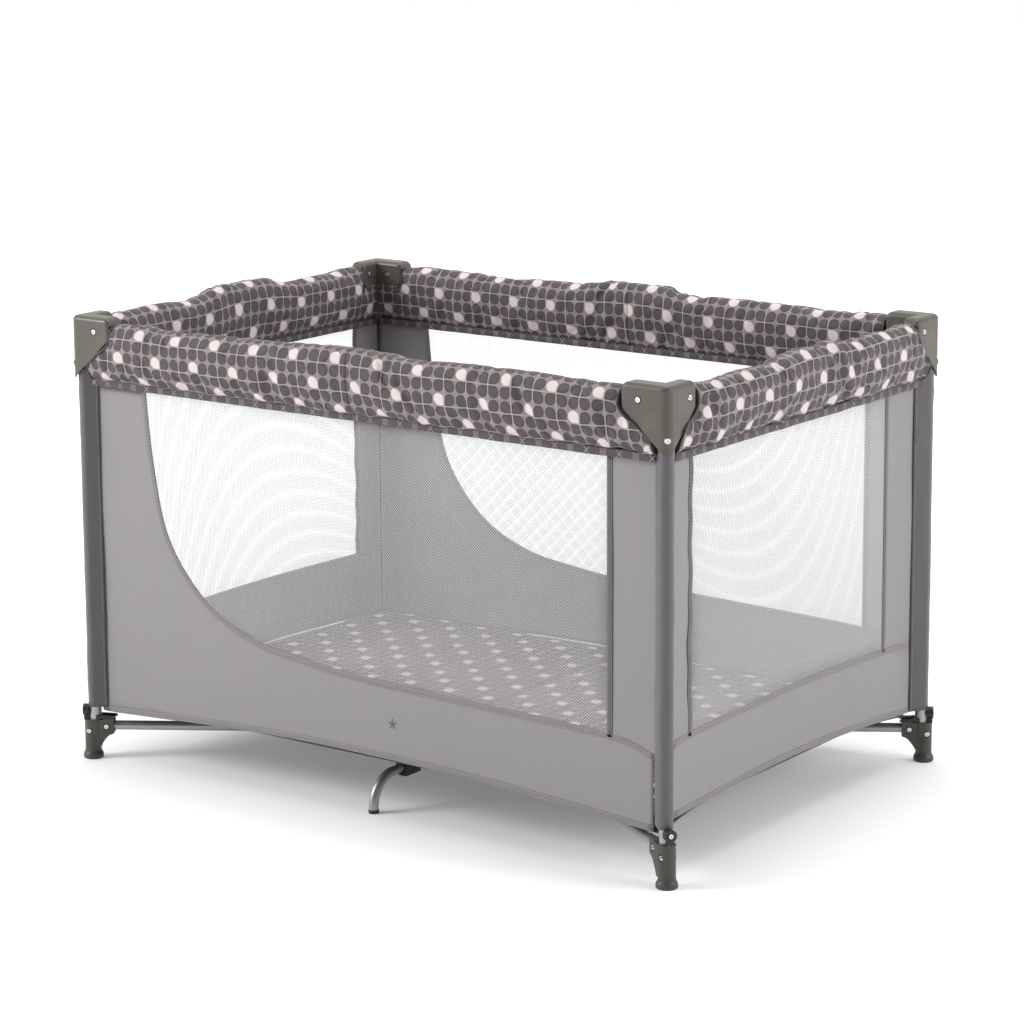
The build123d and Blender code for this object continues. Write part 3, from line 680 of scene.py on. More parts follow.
def lay_stitches(name, runs, thread, spacing=STITCH_GAP, length=STITCH_LONG, width=STITCH_WIDE):
    """Stitches along several runs of points, as one plain mesh."""
    curve = bpy.data.curves.new(name, "CURVE")
    curve.dimensions = "3D"
    for run in runs:
        spline = curve.splines.new("POLY")
        spline.points.add(len(run) - 1)
        spline.points.foreach_set("co", np.c_[np.asarray(run, float), np.ones(len(run))].ravel())
    holder = link(name + "_path", curve)
    modifier = holder.modifiers.new("stitches", "NODES")
    modifier.node_group = STITCHES
    values = {"Spacing": spacing, "Length": length, "Width": width, "Thread": thread}
    for item in STITCHES.interface.items_tree:
        if item.in_out == "INPUT" and item.name in values:
            modifier[item.identifier] = values[item.name]
    graph = bpy.context.evaluated_depsgraph_get()
    mesh = bpy.data.meshes.new_from_object(holder.evaluated_get(graph))
    mesh.uv_layers.new(name="cloth")
    mesh.polygons.foreach_set("use_smooth", [True] * len(mesh.polygons))
    bpy.data.objects.remove(holder)
    return link(name, mesh)


# ---------------------------------------------------------------- walls

# Outlines on a side's plane: (along, height). STEEP is where the walls end inside the covers. Then
# the curved top of the long walls' bands, the hems, the short walls' top edge, and the windows' ends.
STEEP = 0.574
SWOOSH = [(-0.404, STEEP), (-0.391, 0.459), (-0.363, 0.350), (-0.293, 0.266), (-0.206, 0.224),
          (-0.117, 0.209), (0.000, 0.199), (0.200, 0.194), (0.417, 0.187), (0.486, 0.171)]
LONG_HEM = [(-0.486, 0.0735), (-0.194, 0.0895), (0.0, 0.0915), (0.197, 0.0865), (0.486, 0.0690)]
SHORT_TOP = [(-0.316, 0.182), (-0.277, 0.189), (0.0, 0.194), (0.237, 0.188), (0.316, 0.181)]
SHORT_HEM = [(-0.316, 0.0840), (-0.096, 0.0935), (0.060, 0.0935), (0.179, 0.0885), (0.316, 0.0790)]
LONG_WINDOW_END, LONG_WINDOW_LOW = SWOOSH[-2]
SHORT_WINDOW = (-0.277, 0.241)
SHORT_WINDOW_LOW = 0.188
HEM_TAPE = 0.009
HEM_LIFT = 0.004


def curve_height(outline, along):
    """Height of a smooth outline at each distance along."""
    line = smooth_line(outline, 0.004)
    return np.interp(along, line[:, 0], line[:, 1])


def wall_panel(side, name, along, low, high, seed, rows):
    """One piece of wall cloth from a lower to an upper edge, with soft waves and puckered seams."""
    share = np.linspace(0, 1, rows)
    z = low[:, None] + (high - low)[:, None] * share[None, :]
    a = np.broadcast_to(along[:, None], z.shape)
    flat = np.stack([a, z, np.zeros_like(z)], -1).reshape(-1, 3)
    waves = ripple(flat, seed, 7.0, 0.0011).reshape(z.shape)
    pucker = ripple(flat * np.array([1, 0.25, 1]), seed + 3, 75.0, 0.00055).reshape(z.shape)
    near_seam = np.exp(-(high[:, None] - z) / 0.022) + 0.7 * np.exp(-(z - low[:, None]) / 0.018)
    lift = waves * np.sin(np.pi * share)[None, :] + pucker * near_seam
    out = WALL_SHIFT + lift
    base = np.array(side.at(0, 0, 0))
    grid = base + a[..., None] * np.array(side.along) + z[..., None] * np.array((0, 0, 1))
    normal = np.array(side.outward)
    front = grid + (out + CLOTH / 2)[..., None] * normal
    back = grid + (out - CLOTH / 2)[..., None] * normal
    return slab(name, front, back, np.stack([a, z], -1), WALL_CLOTH)


def on_side(side, outline, out):
    """Points of an outline on a side's plane, at a distance out from the wall."""
    return np.array([side.at(a, out, z) for a, z in outline])


def offset_line(line, gap):
    """An outline moved sideways within its own plane."""
    tangent = directions(line)
    return line + gap * np.stack([-tangent[:, 1], tangent[:, 0]], -1)


def bound_edge(side, name, outline, material, width=BINDING):
    """A tape folded over a raw edge, and the two rows of stitches on each face of it."""
    path = on_side(side, outline, WALL_SHIFT)
    tape = sweep(name, path, side.outward, flat_tape(width, BINDING_THICK), material)
    rows = []
    for face in (1, -1):
        for gap in (-0.34, 0.34):
            row = offset_line(outline, gap * width)
            rows.append(on_side(side, row, WALL_SHIFT + face * BINDING_THICK * 0.52))
    return tape, rows


def net(side, name, inside):
    """Crossing yarns on the slant that fill a window. inside(along, z) says what is in it."""
    span = side.reach + 0.6
    step = 0.004
    yarns = []
    for slope in (1, -1):
        offset = -span
        while offset < span:
            offset += NET_PITCH * math.sqrt(2)
            a = np.arange(-side.reach, side.reach, step)
            z = offset + slope * a
            keep = inside(a, z)
            start = None
            for i, within in enumerate(np.append(keep, False)):
                if within and start is None:
                    start = i
                elif not within and start is not None:
                    if i - start > 1:
                        yarns.append((a[start], z[start], a[i - 1], z[i - 1], slope))
                    start = None
    return weave_net(side, name, yarns)


def weave_net(side, name, yarns):
    """Builds a net's yarns as slim four-sided bars, each split into pieces about 35 mm long."""
    along, up, normal = np.array(side.along), np.array((0, 0, 1.0)), np.array(side.outward)
    points, faces = [], []
    for a0, z0, a1, z1, slope in yarns:
        length = math.hypot(a1 - a0, z1 - z0)
        cuts = max(1, round(length / 0.035))
        direction = (along + slope * up) / math.sqrt(2)
        across = np.cross(normal, direction)
        first = len(points)
        lift = slope * YARN_THICK * 0.25
        for share in np.linspace(0, 1, cuts + 1):
            a, z = a0 + (a1 - a0) * share, z0 + (z1 - z0) * share
            centre = np.array(side.at(a, 0, z)) + normal * (WALL_SHIFT + lift)
            for s, o in ((-0.5, 0), (0, -0.5), (0.5, 0), (0, 0.5)):
                points.append(centre + across * s * YARN_WIDE + normal * o * YARN_THICK)
        for i in range(cuts):
            for j in range(4):
                k = (j + 1) % 4
                r = first + 4 * i
                faces.append((r + j, r + k, r + 4 + k, r + 4 + j))
        last = first + 4 * cuts
        faces.append((first + 3, first + 2, first + 1, first))
        faces.append((last, last + 1, last + 2, last + 3))
    uv = [(p[0] + p[1], p[2]) for p in points]
    piece = make_piece(name, points, faces, NET_YARN, uv)
    face_outwards(piece)
    return piece


def belong(side, piece):
    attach(piece, side.body)
    side.squash(piece)
    return piece


def cut_size(along, low, high):
    """The flat rectangle that a shaped cut is taken from, and the cut's own area."""
    width, height = float(np.ptp(along)), float(np.max(high) - np.min(low))
    area = float(np.sum((high - low) * np.gradient(along)))
    return {"flat": (width, height), "area": min(area, width * height)}


def long_wall(side, mirror):
    """Front or back wall: a low band that sweeps up at one end, a strip at the other, and one window."""
    def turned(outline):
        return [(mirror * a, z) for a, z in outline][::mirror]

    swoosh = smooth_line(SWOOSH, 0.006)
    corner = np.arange(-side.reach, SWOOSH[0][0], 0.008)
    along = np.concatenate([corner, swoosh[:, 0]])
    high = np.concatenate([np.full(len(corner), STEEP), swoosh[:, 1]])
    low = curve_height(LONG_HEM, along)
    band = wall_panel(side, f"band_{side.name}", mirror * along, low, high, 1.0 + mirror, 26)
    strip_along = np.linspace(LONG_WINDOW_END, side.reach, 14)
    strip_low = np.interp(strip_along, swoosh[:, 0], swoosh[:, 1])
    strip_high = np.full_like(strip_along, STEEP)
    strip = wall_panel(side, f"strip_{side.name}", mirror * strip_along, strip_low, strip_high, 4.0, 60)
    upright = turned([(LONG_WINDOW_END, z) for z in np.linspace(LONG_WINDOW_LOW, STEEP + LAP, 22)])
    hem = np.array(turned(smooth_line(LONG_HEM, 0.012))) + np.array((0, HEM_LIFT))
    trims = [
        bound_edge(side, "edge", np.array(turned(swoosh)), BINDING_CLOTH),
        bound_edge(side, "edge", np.array(upright), DARK_BINDING),
        bound_edge(side, "edge", hem, BINDING_CLOTH, HEM_TAPE),
    ]

    def inside(a, z):
        a = mirror * a
        bottom = np.interp(a, swoosh[:, 0], swoosh[:, 1])
        return (a > SWOOSH[0][0]) & (a < LONG_WINDOW_END) & (z > bottom) & (z < STEEP)

    mesh_net = net(side, f"net_{side.name}", inside)
    window = swoosh[swoosh[:, 0] <= LONG_WINDOW_END]
    sheets = [
        (band, cut_size(along, low, high)),
        (strip, cut_size(strip_along, strip_low, strip_high)),
        (mesh_net, cut_size(window[:, 0], window[:, 1], STEEP)),
    ]
    finish_wall(side, sheets, trims)


def short_wall(side, turn):
    """Left or right wall: a low band, two strips and one window."""
    along = np.linspace(-side.reach, side.reach, 110)
    top, hem = curve_height(SHORT_TOP, along), curve_height(SHORT_HEM, along)
    band = wall_panel(side, f"band_{side.name}", along, hem, top, 6.0 + turn, 18)
    near, far = SHORT_WINDOW
    sheets = [(band, cut_size(along, hem, top))]
    for label, start, end in (("near", -side.reach, near), ("far", far, side.reach)):
        run = np.linspace(start, end, 12)
        low, high = curve_height(SHORT_TOP, run), np.full(12, STEEP)
        strip = wall_panel(side, f"strip_{side.name}_{label}", run, low, high, 9.0 + start, 56)
        sheets.append((strip, cut_size(run, low, high)))
    rise = np.linspace(SHORT_WINDOW_LOW, STEEP + LAP, 40)
    wavy = [(near + 0.0012 * math.sin(z * 95) + 0.0008 * math.sin(z * 37), z) for z in rise]
    lower = smooth_line(SHORT_HEM, 0.012) + np.array((0, HEM_LIFT))
    trims = [
        bound_edge(side, "edge", smooth_line(SHORT_TOP, 0.008), BINDING_CLOTH),
        bound_edge(side, "edge", np.array(wavy), DARK_BINDING),
        bound_edge(side, "edge", np.array([(far, z) for z in rise]), DARK_BINDING),
        bound_edge(side, "edge", lower, BINDING_CLOTH, HEM_TAPE),
    ]

    def inside(a, z):
        return (a > near) & (a < far) & (z > np.interp(a, along, top)) & (z < STEEP)

    mesh_net = net(side, f"net_{side.name}", inside)
    run = along[(along > near) & (along < far)]
    sheets.append((mesh_net, cut_size(run, curve_height(SHORT_TOP, run), STEEP)))
    finish_wall(side, sheets, trims)


TACK_AT = (0.050, 0.143)
TACK_RAY = (0.0004, 0.0024, 0.0044, 0.0064)


def star_tack(side):
    """Five short dark stitches sewn as a star, which hold the wall to the cloth behind it."""
    rays = []
    for turn in np.radians((90, 162, 234, 306, 18)):
        ray = [(TACK_AT[0] + r * math.cos(turn), TACK_AT[1] + r * math.sin(turn)) for r in TACK_RAY]
        rays.append(on_side(side, ray, WALL_SHIFT + CLEAR))
    tack = lay_stitches(f"star_tack_{side.name}", rays, DARK_THREAD, 0.0024, 0.0030, 0.0011)
    belong(side, tack)


def finish_wall(side, sheets, trims):
    stitches = lay_stitches(f"stitches_{side.name}", [row for _, rows in trims for row in rows], THREAD)
    binding = join([tape for tape, _ in trims], f"binding_{side.name}")
    for piece, size in sheets:
        belong(side, piece)
    belong(side, binding)
    belong(side, stitches)
    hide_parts(f"wall_{side.name}")


# ---------------------------------------------------------------- sleeves

SEAM_LONG = 0.020
SEAM_SHORT = 0.026


# The cords in the inner corners: their radius, how far the upper one stands off the cap, and
# between which heights they run.
CORNER_CORD = 0.0013
CORD_GAP = 0.0016
WALL_CORD = (0.082, 0.575)
CAP_CORD_LOW = 0.571


def make_sleeve(corner):
    """A strip of coated cloth round the outside of a post, its two edges sewn to the walls."""
    sx, sy = CORNERS[corner]
    tuck_x = (-SEAM_LONG, -(POST_Y - WALL_Y) + 0.0020)
    tuck_y = (-(POST_X - WALL_X) + 0.0020, -SEAM_SHORT)
    radius = SLEEVE_R - CLOTH + 0.0002
    arc = [(radius * math.cos(t), radius * math.sin(t)) for t in np.radians(np.linspace(118, -30, 22))]
    outline = [tuck_x, *arc, tuck_y]
    plan = smooth_line(outline, 0.0030)
    heights = np.arange(SLEEVE_LOW - 0.004, SLEEVE_HIGH + 0.003, 0.010)
    flat = np.array([(x, y, z) for x, y in plan for z in heights])
    crease = ripple(flat * np.array([1, 1, 0.55]), 20.0 + sx + 2 * sy, 60.0, 0.0007).reshape(len(plan), -1)
    crease = crease + 0.0006 * np.sin(heights / 0.011 + plan[:, :1] * 160) * np.exp(-(0.56 - heights) / 0.05)
    crease *= np.clip((0.572 - heights) / 0.01, 0, 1)
    tangent = directions(plan)
    normal = np.stack([-tangent[:, 1], tangent[:, 0]], -1)
    normal *= np.sign((normal * plan).sum(1).mean())
    run = distance_along(plan)
    faces = []
    for lift in (CLOTH, 0.0):
        spread = plan[:, None, :] + normal[:, None, :] * (np.maximum(crease, 0)[..., None] + lift)
        x = sx * (POST_X + spread[..., 0])
        y = sy * (POST_Y + spread[..., 1])
        z = np.broadcast_to(heights[None, :], x.shape)
        faces.append(np.stack([x, y, z], -1))
    uv = np.stack(np.meshgrid(run, heights, indexing="ij"), -1)
    sleeve = slab(f"sewn_sleeve_{corner}", faces[0], faces[1], uv, SLEEVE_CLOTH)
    rows = []
    for (x, y), shift in ((plan[1], (0, CLEAR)), (plan[-2], (CLEAR, 0))):
        rows.append([(sx * (POST_X + x + shift[0]), sy * (POST_Y + y + shift[1]), z) for z in heights])
    stitches = lay_stitches(f"sleeve_stitches_{corner}", rows, THREAD)
    beside_cap = (POST_X - CAP_HALF_X - CORD_GAP, POST_Y - CAP_HALF_Y - CORD_GAP)
    lines = [((WALL_X - LAP, WALL_Y - LAP), *WALL_CORD), (beside_cap, CAP_CORD_LOW, CAP_INNER_Z)]
    cords = []
    for (x, y), low, high in lines:
        path = [(sx * x, sy * y, z) for z in np.linspace(low, high, 12)]
        cords.append(sweep("cord", path, (sx, sy, 0), round_cord(CORNER_CORD), PIPING_CLOTH))
    seam = join(cords, f"corner_seam_{corner}")
    for piece in (sleeve, stitches, seam):
        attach(piece, f"post_{corner}")
    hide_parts(f"sleeve_{corner}")


# ---------------------------------------------------------------- rail covers

COVER_SEAM = 0.579
COVER_HEM = 0.570
COVER_ROWS = 100
COVER_PUFF = 0.005
COVER_HALF = 0.0205
COVER_TAPER = 0.016
SWELL_END, SWELL_FADE = 0.125, 0.080
DOME_RADIUS, DOME_EDGE, DOME_HIGH = 0.0105, 0.0040, 0.0018
CAP_SIDE_GAP = 0.0016
FLAP_LOW = 0.577
FLAP_THICK = 0.0024
FLAP_SAG = 0.0016
HEM_OUT, HEM_IN = 0.0018, -0.0135
HEM_CORD = 0.0010
CAP_CORD = 0.0019
PUFF_FRAMES = 16
PUFF_ROWS = 16
CAP_TAIL_Z = 0.576
CAP_WING_Z = 0.643
CAP_INNER_Z = 0.632
PROFILE = [(0.0015, -0.073), (0.0120, -0.066), (0.0185, -0.046), (0.0205, -0.018), (0.0190, 0.003),
           (0.0105, 0.0135), (0.0, 0.0160), (-0.0105, 0.0135), (-0.0190, 0.003), (-0.0205, -0.018),
           (-0.0190, -0.044), (-0.0160, -0.064), (-0.0130, -0.073)]

# What differs from side to side: how far the crown swells over the lock, how crumpled the cloth is,
# and the place (along, height, outer 1 or inner -1 face) of one pale petal, which sets the print.
LOOKS = {
    "front": {"swell": 0.003, "crumple": 0.4, "petal": (0.016, 0.621, 1)},
    "right": {"swell": 0.004, "crumple": 2.0, "petal": (0.012, 0.630, 1)},
    "back": {"swell": 0.008, "crumple": 1.3, "petal": (0.071, 0.632, -1)},
    "left": {"swell": 0.010, "crumple": 0.8, "petal": (-0.049, 0.634, -1)},
}


def cover_profile():
    """Points round a cover's section from its outer seam over the crown to its inner seam."""
    dense = smooth_line(PROFILE, 0.0005)
    return smooth_line(dense[::8], 0.0032)


COVER_LINE = cover_profile()
COVER_GIRTH = distance_along(COVER_LINE)


def girth_at(z, face):
    """Distance round the cover's section to a height on its outer or inner face."""
    crown = int(COVER_LINE[:, 1].argmax())
    part = slice(0, crown + 1) if face > 0 else slice(crown, None)
    heights, girths = COVER_LINE[part, 1] + RAIL_Z, COVER_GIRTH[part]
    order = np.argsort(heights)
    return np.interp(z, heights[order], girths[order])


def print_place(side, along, girth):
    """The print's coordinates, set so that a pale petal falls where the side's look says."""
    petal_along, petal_z, face = LOOKS[side.name]["petal"]
    u = along - petal_along + 0.5 * PETAL
    v = girth - girth_at(petal_z, face) + 1.5 * PETAL
    return np.stack(np.broadcast_arrays(u, v), -1)


def cap_halves(side):
    """Half width of the cap's wing on a side, and of the wing round the corner."""
    return (CAP_HALF_Y, CAP_HALF_X) if side.is_long else (CAP_HALF_X, CAP_HALF_Y)


def cover_end(side, z):
    """How far from mid-side a cover reaches at a height: it follows the sloping edge of the cap."""
    post, wing = (POST_X, WING_LONG) if side.is_long else (POST_Y, WING_SHORT)
    slope = (CAP_WING_Z - CAP_TAIL_Z) / (wing + cap_halves(side)[1])
    reach = post - wing + np.maximum(0, CAP_WING_Z - z) / slope
    return np.minimum(reach, post - SLEEVE_R - 0.004) - CLEAR


def corner_reach(side):
    """How far from mid-side the inner cloth of a cover reaches: to the cap's inner corner."""
    return (POST_X if side.is_long else POST_Y) - cap_halves(side)[1] - CLEAR


def cover_grid(side, way):
    """Points of one half of a cover, outward from mid-side, and the print's place at each."""
    swell = LOOKS[side.name]["swell"]
    ends = cover_end(side, RAIL_Z + COVER_LINE[:, 1])
    rows = COVER_ROWS if side.is_long else int(COVER_ROWS * 0.72)
    along = np.linspace(0, 1, rows)[:, None] * ends[None, :]
    near_end = np.exp(-(ends[None, :] - along) / COVER_TAPER)
    narrow = 1 - (cap_halves(side)[0] + CAP_SIDE_GAP) / COVER_HALF
    height = COVER_LINE[None, :, 1]
    out = COVER_LINE[None, :, 0] * (1 - narrow * near_end)
    rise = smooth_step((SWELL_END - along) / SWELL_FADE)
    crown = np.clip((height + 0.070) / 0.085, 0, 1) ** 1.4
    up = height - 0.004 * near_end * (height > -0.03) + swell * rise * crown
    out = out + np.sign(COVER_LINE[None, :, 0]) * 0.0020 * rise * np.clip((height + 0.06) / 0.03, 0, 1)
    return np.stack([way * along, out, up], -1), print_place(side, way * along, COVER_GIRTH[None, :])


def fold_height(points, seed, crumple):
    """Drag lines and gathers in a cover: deepest at the hem, beside the cap and round the lock."""
    flat = points.reshape(-1, 3)
    along = np.abs(flat[:, 0])
    to_cap = np.exp(-(along.max() - along) / 0.040)
    to_hem = np.exp(-(flat[:, 2] + 0.073) / 0.020)
    to_lock = np.exp(-((along - 0.055) / 0.045) ** 2)
    slanted = flat @ np.array([[1.0, 0, 0.35], [0, 0.3, 0], [0.25, 0, 0.6]])
    soft = ripple(flat * np.array([0.7, 1, 1]), seed, 15.0, 0.0012)
    gathers = ripple(slanted, seed + 5, 55.0, 0.0026)
    creases = 0.0007 - np.abs(ripple(slanted, seed + 9, 40.0, 0.0030))
    depth = 0.70 * to_cap + 0.45 * to_hem + 0.45 * crumple * to_lock + 0.22 * crumple
    lift = soft + (gathers + creases) * np.clip(depth, 0, 1.1)
    return lift.reshape(points.shape[:2])


def button_bump(side, points):
    """The release button pushes the cloth out in a small round dome on the right-hand half."""
    button = middle(f"lock_button_{side.name}")
    away = np.hypot(points[..., 0] - button.dot(side.along), points[..., 2] - (button.z - RAIL_Z))
    dome = smooth_step((DOME_RADIUS - away) / DOME_EDGE)
    return DOME_HIGH * dome * (points[..., 1] > 0)


def on_rail(side, points):
    """From along, out and up about a side's rail to the pen's frame."""
    origin = np.array(side.at(0, side.rail - side.wall, RAIL_Z))
    return origin + points @ np.array([side.along, side.outward, (0, 0, 1)])


def make_cover(side, half, way):
    """One half of a padded rail cover, from mid-side to the cap."""
    points, place = cover_grid(side, way)
    normal = np.cross(np.gradient(points, axis=0), np.gradient(points, axis=1))
    normal /= np.linalg.norm(normal, axis=-1)[..., None]
    core = np.array([0, 0, -0.03])
    normal *= np.sign(((points - core)[..., 1:] * normal[..., 1:]).sum(-1).mean())
    lift = fold_height(points, 30.0 + 3 * SIDES.index(side), LOOKS[side.name]["crumple"])
    points = points + normal * (lift + button_bump(side, points))[..., None]
    world = on_rail(side, points)
    rows, columns = world.shape[:2]
    faces, index = grid_faces(rows, columns)
    faces = faces.tolist()
    faces += [(index[i, 0], index[i + 1, 0], index[i + 1, -1], index[i, -1]) for i in range(rows - 1)]
    faces += [tuple(int(i) for i in ring) for ring in (index[0], index[-1])]
    name = f"padded_cover_{side.name}_{half}"
    cover = make_piece(name, world.reshape(-1, 3), faces, PRINT, place.reshape(-1, 2))
    cover.data.materials.append(PIPING_CLOTH)
    for polygon in cover.data.polygons[-2:]:
        polygon.material_index = 1
    face_outwards(cover)
    return cover, world


def corner_flap(side, half, way):
    """The inner cloth of a cover, which runs on under the cap to the inner corner."""
    z = np.linspace(FLAP_LOW, CAP_INNER_Z + 0.003, 16)
    share = np.linspace(0, 1, 14)[:, None]
    start = cover_end(side, z) - 0.006
    along = start[None, :] + (corner_reach(side) - start[None, :]) * share
    out = -cap_halves(side)[0] - CLEAR - FLAP_SAG * np.sin(np.pi * share) + 0 * along
    height = np.broadcast_to(z[None, :], along.shape) - RAIL_Z
    flat = np.stack([way * along, out, height], -1)
    out = out - np.abs(ripple(flat.reshape(-1, 3), 44.0 + way, 60.0, 0.0010).reshape(out.shape))
    faces = [on_rail(side, np.stack([way * along, out + lift, height], -1)) for lift in (0, FLAP_THICK)]
    place = print_place(side, way * along, girth_at(z, -1)[None, :])
    return slab(f"corner_flap_{side.name}_{half}", faces[0], faces[1], place, PRINT)


def inflate(covers):
    """A short cloth simulation puffs the covers' padding between the seams, which are held."""
    scene = bpy.context.scene
    rest = {}
    for cover in covers:
        co = np.zeros(len(cover.data.vertices) * 3)
        cover.data.vertices.foreach_get("co", co)
        rest[cover.name] = co.reshape(-1, 3)
        held = cover.vertex_groups.new(name="held")
        columns = cover["columns"]
        rows = len(rest[cover.name]) // columns
        for i in range(rows):
            for j in (0, 1, columns - 2, columns - 1):
                held.add([i * columns + j], 1.0, "REPLACE")
        for j in range(columns):
            for i in (0, rows - 1):
                held.add([i * columns + j], 1.0, "REPLACE")
        cloth = cover.modifiers.new("padding", "CLOTH").settings
        cloth.quality = 4
        cloth.use_pressure = True
        cloth.uniform_pressure_force = 3.0
        cloth.effector_weights.gravity = 0
        cloth.shrink_min = -0.03
        cloth.tension_stiffness = cloth.compression_stiffness = 12
        cloth.bending_stiffness = 0.35
        cloth.vertex_group_mass = "held"
    scene.frame_start, scene.frame_end = 1, PUFF_FRAMES
    for step in range(1, PUFF_FRAMES + 1):
        scene.frame_set(step)
    graph = bpy.context.evaluated_depsgraph_get()
    for cover in covers:
        mesh = cover.evaluated_get(graph).data
        co = np.zeros(len(mesh.vertices) * 3)
        mesh.vertices.foreach_get("co", co)
        moved = co.reshape(-1, 3) - rest[cover.name]
        far = np.linalg.norm(moved, axis=1)[:, None]
        capped = moved * np.minimum(1, COVER_PUFF / np.maximum(far, 1e-9))
        capped *= np.clip(np.arange(len(moved)) // cover["columns"] / PUFF_ROWS, 0, 1)[:, None]
        cover.modifiers.clear()
        cover.vertex_groups.clear()
        cover.data.vertices.foreach_set("co", (rest[cover.name] + capped).ravel())
        cover.data.update()
    scene.frame_set(1)


def hem_binding(side, half, way):
    """The bias-cut binding of a cover's two lower edges, and the dark seam above it."""
    seed = 50.0 + SIDES.index(side) + way
    middle_z = (COVER_SEAM + COVER_HEM) / 2
    outline = flat_tape(COVER_SEAM - COVER_HEM + 0.001, 0.0022)
    outer, inner = float(cover_end(side, np.array([COVER_HEM]))[0]), corner_reach(side)
    pieces = []
    for out, face, reach in ((HEM_OUT, 1, outer), (HEM_IN, -1, inner)):
        along = np.linspace(0, reach, 84) * way
        wave = ripple(np.array([(a, 0, 0) for a in along]), seed, 24.0, 0.0010)
        wave *= np.clip(np.abs(along) / 0.02, 0, 1)
        shift = side.rail - side.wall + out
        path = np.array([side.at(a, shift + w, middle_z - abs(w) * 0.5) for a, w in zip(along, wave)])
        pieces.append(sweep("tape", path, side.outward, outline, PRINT_BIAS))
        seam = path + np.array(side.outward) * face * 0.0006 + np.array((0, 0, 0.0054))
        pieces.append(sweep("cord", seam, side.outward, round_cord(HEM_CORD, 6), PIPING_CLOTH))
    return join(pieces, f"cover_hem_{side.name}_{half}")


def cap_piping(side, half, way, world):
    """A black cord sewn round the end of a cover beside the cap, as far as the corner flap."""
    ring = world[-1] + np.array(side.along) * (-way) * 0.0004
    crown = int(COVER_LINE[:, 1].argmax())
    last = crown + int((COVER_LINE[crown:, 1] + RAIL_Z > CAP_INNER_Z).sum())
    path = smooth_line(ring[:last:3], 0.004)
    normals = path - ring.mean(0)
    normals -= (normals @ np.array(side.along))[:, None] * np.array(side.along)
    return sweep(f"cap_piping_{side.name}_{half}", path, normals, round_cord(CAP_CORD), PIPING_CLOTH)


def cover_side(side):
    """Both halves of a side's cover, each with its flap and trims, before the padding is puffed."""
    made = []
    for half, way in zip(side.halves, (-1, 1)):
        cover, world = make_cover(side, half, way)
        cover["columns"] = world.shape[1]
        trims = [hem_binding(side, half, way), cap_piping(side, half, way, world)]
        made.append((half, cover, corner_flap(side, half, way), trims))
    return made


def finish_cover(side, half, cover, flap, trims):
    """Join the flap to the cover, and let both and the trims go with their half rail."""
    del cover["columns"]
    cover = join([cover, flap], cover.name)
    body = f"rail_{side.name}_{half}"
    for piece in (cover, *trims):
        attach(piece, body)
        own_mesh(piece)
    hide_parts(f"cover_{side.name}_{half}")


# ---------------------------------------------------------------- mattress and floor cloth

FOLD_LINES = (-0.5, 0.0, 0.5)
MAT_CROWN = 0.0035
MAT_CORD = 0.0018


def pad_heights(x, y):
    """Top and underside of the mattress: thin at its seam, and pressed in along the fold lines."""
    inset = np.minimum(MAT_X - np.abs(x), MAT_Y - np.abs(y))
    crown = 1 - np.exp(-np.maximum(inset, 0) / 0.012)
    groove = sum(np.exp(-((x - share * MAT_X) / 0.006) ** 2) for share in FOLD_LINES)
    seam = MAT_HIGH - MAT_CROWN
    top = seam + MAT_CROWN * crown * (1 - 0.75 * groove)
    under = seam - 0.001 - (seam - 0.001 - MAT_LOW) * (1 - np.exp(-np.maximum(inset, 0) / 0.045))
    return top, under


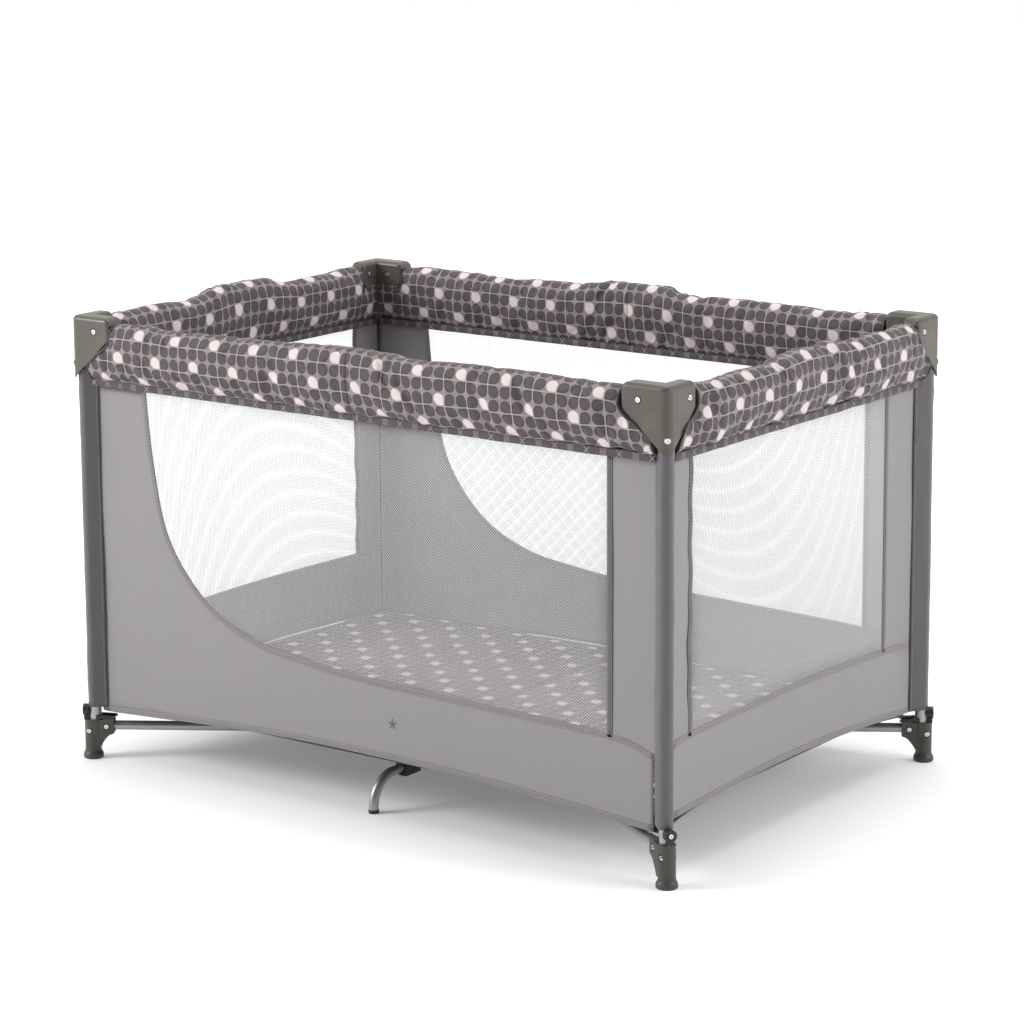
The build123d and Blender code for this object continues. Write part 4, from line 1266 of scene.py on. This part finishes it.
def make_mattress():
    """The printed pad on the floor, made as one closed crowned form with three fold lines."""
    xs = np.linspace(-MAT_X, MAT_X, 180)
    ys = np.linspace(-MAT_Y, MAT_Y, 96)
    x, y = np.meshgrid(xs, ys, indexing="ij")
    top, under = pad_heights(x, y)
    flat = np.stack([x, y, np.zeros_like(x)], -1).reshape(-1, 3)
    free = np.clip((top - MAT_HIGH + MAT_CROWN) / MAT_CROWN, 0, 1)
    top = top + ripple(flat, 70.0, 9.0, 0.0012).reshape(x.shape) * free
    uv = np.stack([x, y], -1)
    pad = slab("mattress_pad", np.stack([x, y, top], -1), np.stack([x, y, under], -1), uv, PRINT)
    seam = MAT_HIGH - 0.004
    edge = [(-MAT_X, -MAT_Y), (MAT_X, -MAT_Y), (MAT_X, MAT_Y), (-MAT_X, MAT_Y)]
    path = []
    for (x0, y0), (x1, y1) in zip(edge, edge[1:] + edge[:1]):
        path += [(x0 + (x1 - x0) * t, y0 + (y1 - y0) * t, seam) for t in np.linspace(0.01, 0.99, 30)]
    path.append(path[0])
    piping = sweep("mattress_piping", np.array(path), (0, 0, 1), round_cord(MAT_CORD), PIPING_CLOTH)
    for piece in (pad, piping):
        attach(piece, "mattress")
        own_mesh(piece)
    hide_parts("mattress")


def make_floor_cloth(corner):
    """A quarter of the cloth sewn under the hems, which the mattress lies on."""
    sx, sy = CORNERS[corner]
    reach_x, reach_y = WALL_X - LAP, WALL_Y - LAP
    xs, ys = np.linspace(0, reach_x, 40), np.linspace(0, reach_y, 30)
    x, y = np.meshgrid(xs, ys, indexing="ij")
    low = MAT_LOW - 0.0005
    long_hem = curve_height(LONG_HEM, sx * x.ravel()).reshape(x.shape)
    turn = 1 if sx > 0 else -1
    short_hem = curve_height(SHORT_HEM, turn * sy * y.ravel()).reshape(x.shape)
    to_long = np.exp(-(reach_y - y) / 0.030)
    to_short = np.exp(-(reach_x - x) / 0.030)
    z = low + (long_hem - 0.001 - low) * to_long + (short_hem - 0.001 - low) * to_short * (1 - to_long)
    lower = np.stack([sx * x, sy * y, z - 0.0006], -1)
    upper = np.stack([sx * x, sy * y, z], -1)
    # The cloth's near-black colour is painted shade.
    cloth = slab(f"floor_cloth_{corner}", upper, lower, np.stack([x, y], -1), FLOOR_CLOTH_PAINTED_SHADE)
    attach(cloth, f"arm_{corner}")
    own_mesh(cloth)


# ---------------------------------------------------------------- putting it together

place_camera()
light_studio()
floor = lay_floor()
floor.data.materials.append(studio_finish())
finish_frame()

long_wall(SIDES[0], 1)
long_wall(SIDES[1], -1)
short_wall(SIDES[2], -1)
short_wall(SIDES[3], 1)
star_tack(SIDES[0])
for corner_name in CORNERS:
    make_sleeve(corner_name)
    make_floor_cloth(corner_name)

covers = [(side, *made) for side in SIDES for made in cover_side(side)]
inflate([cover for _, _, cover, _, _ in covers])
for side, half, cover, flap, trims in covers:
    finish_cover(side, half, cover, flap, trims)
make_mattress()
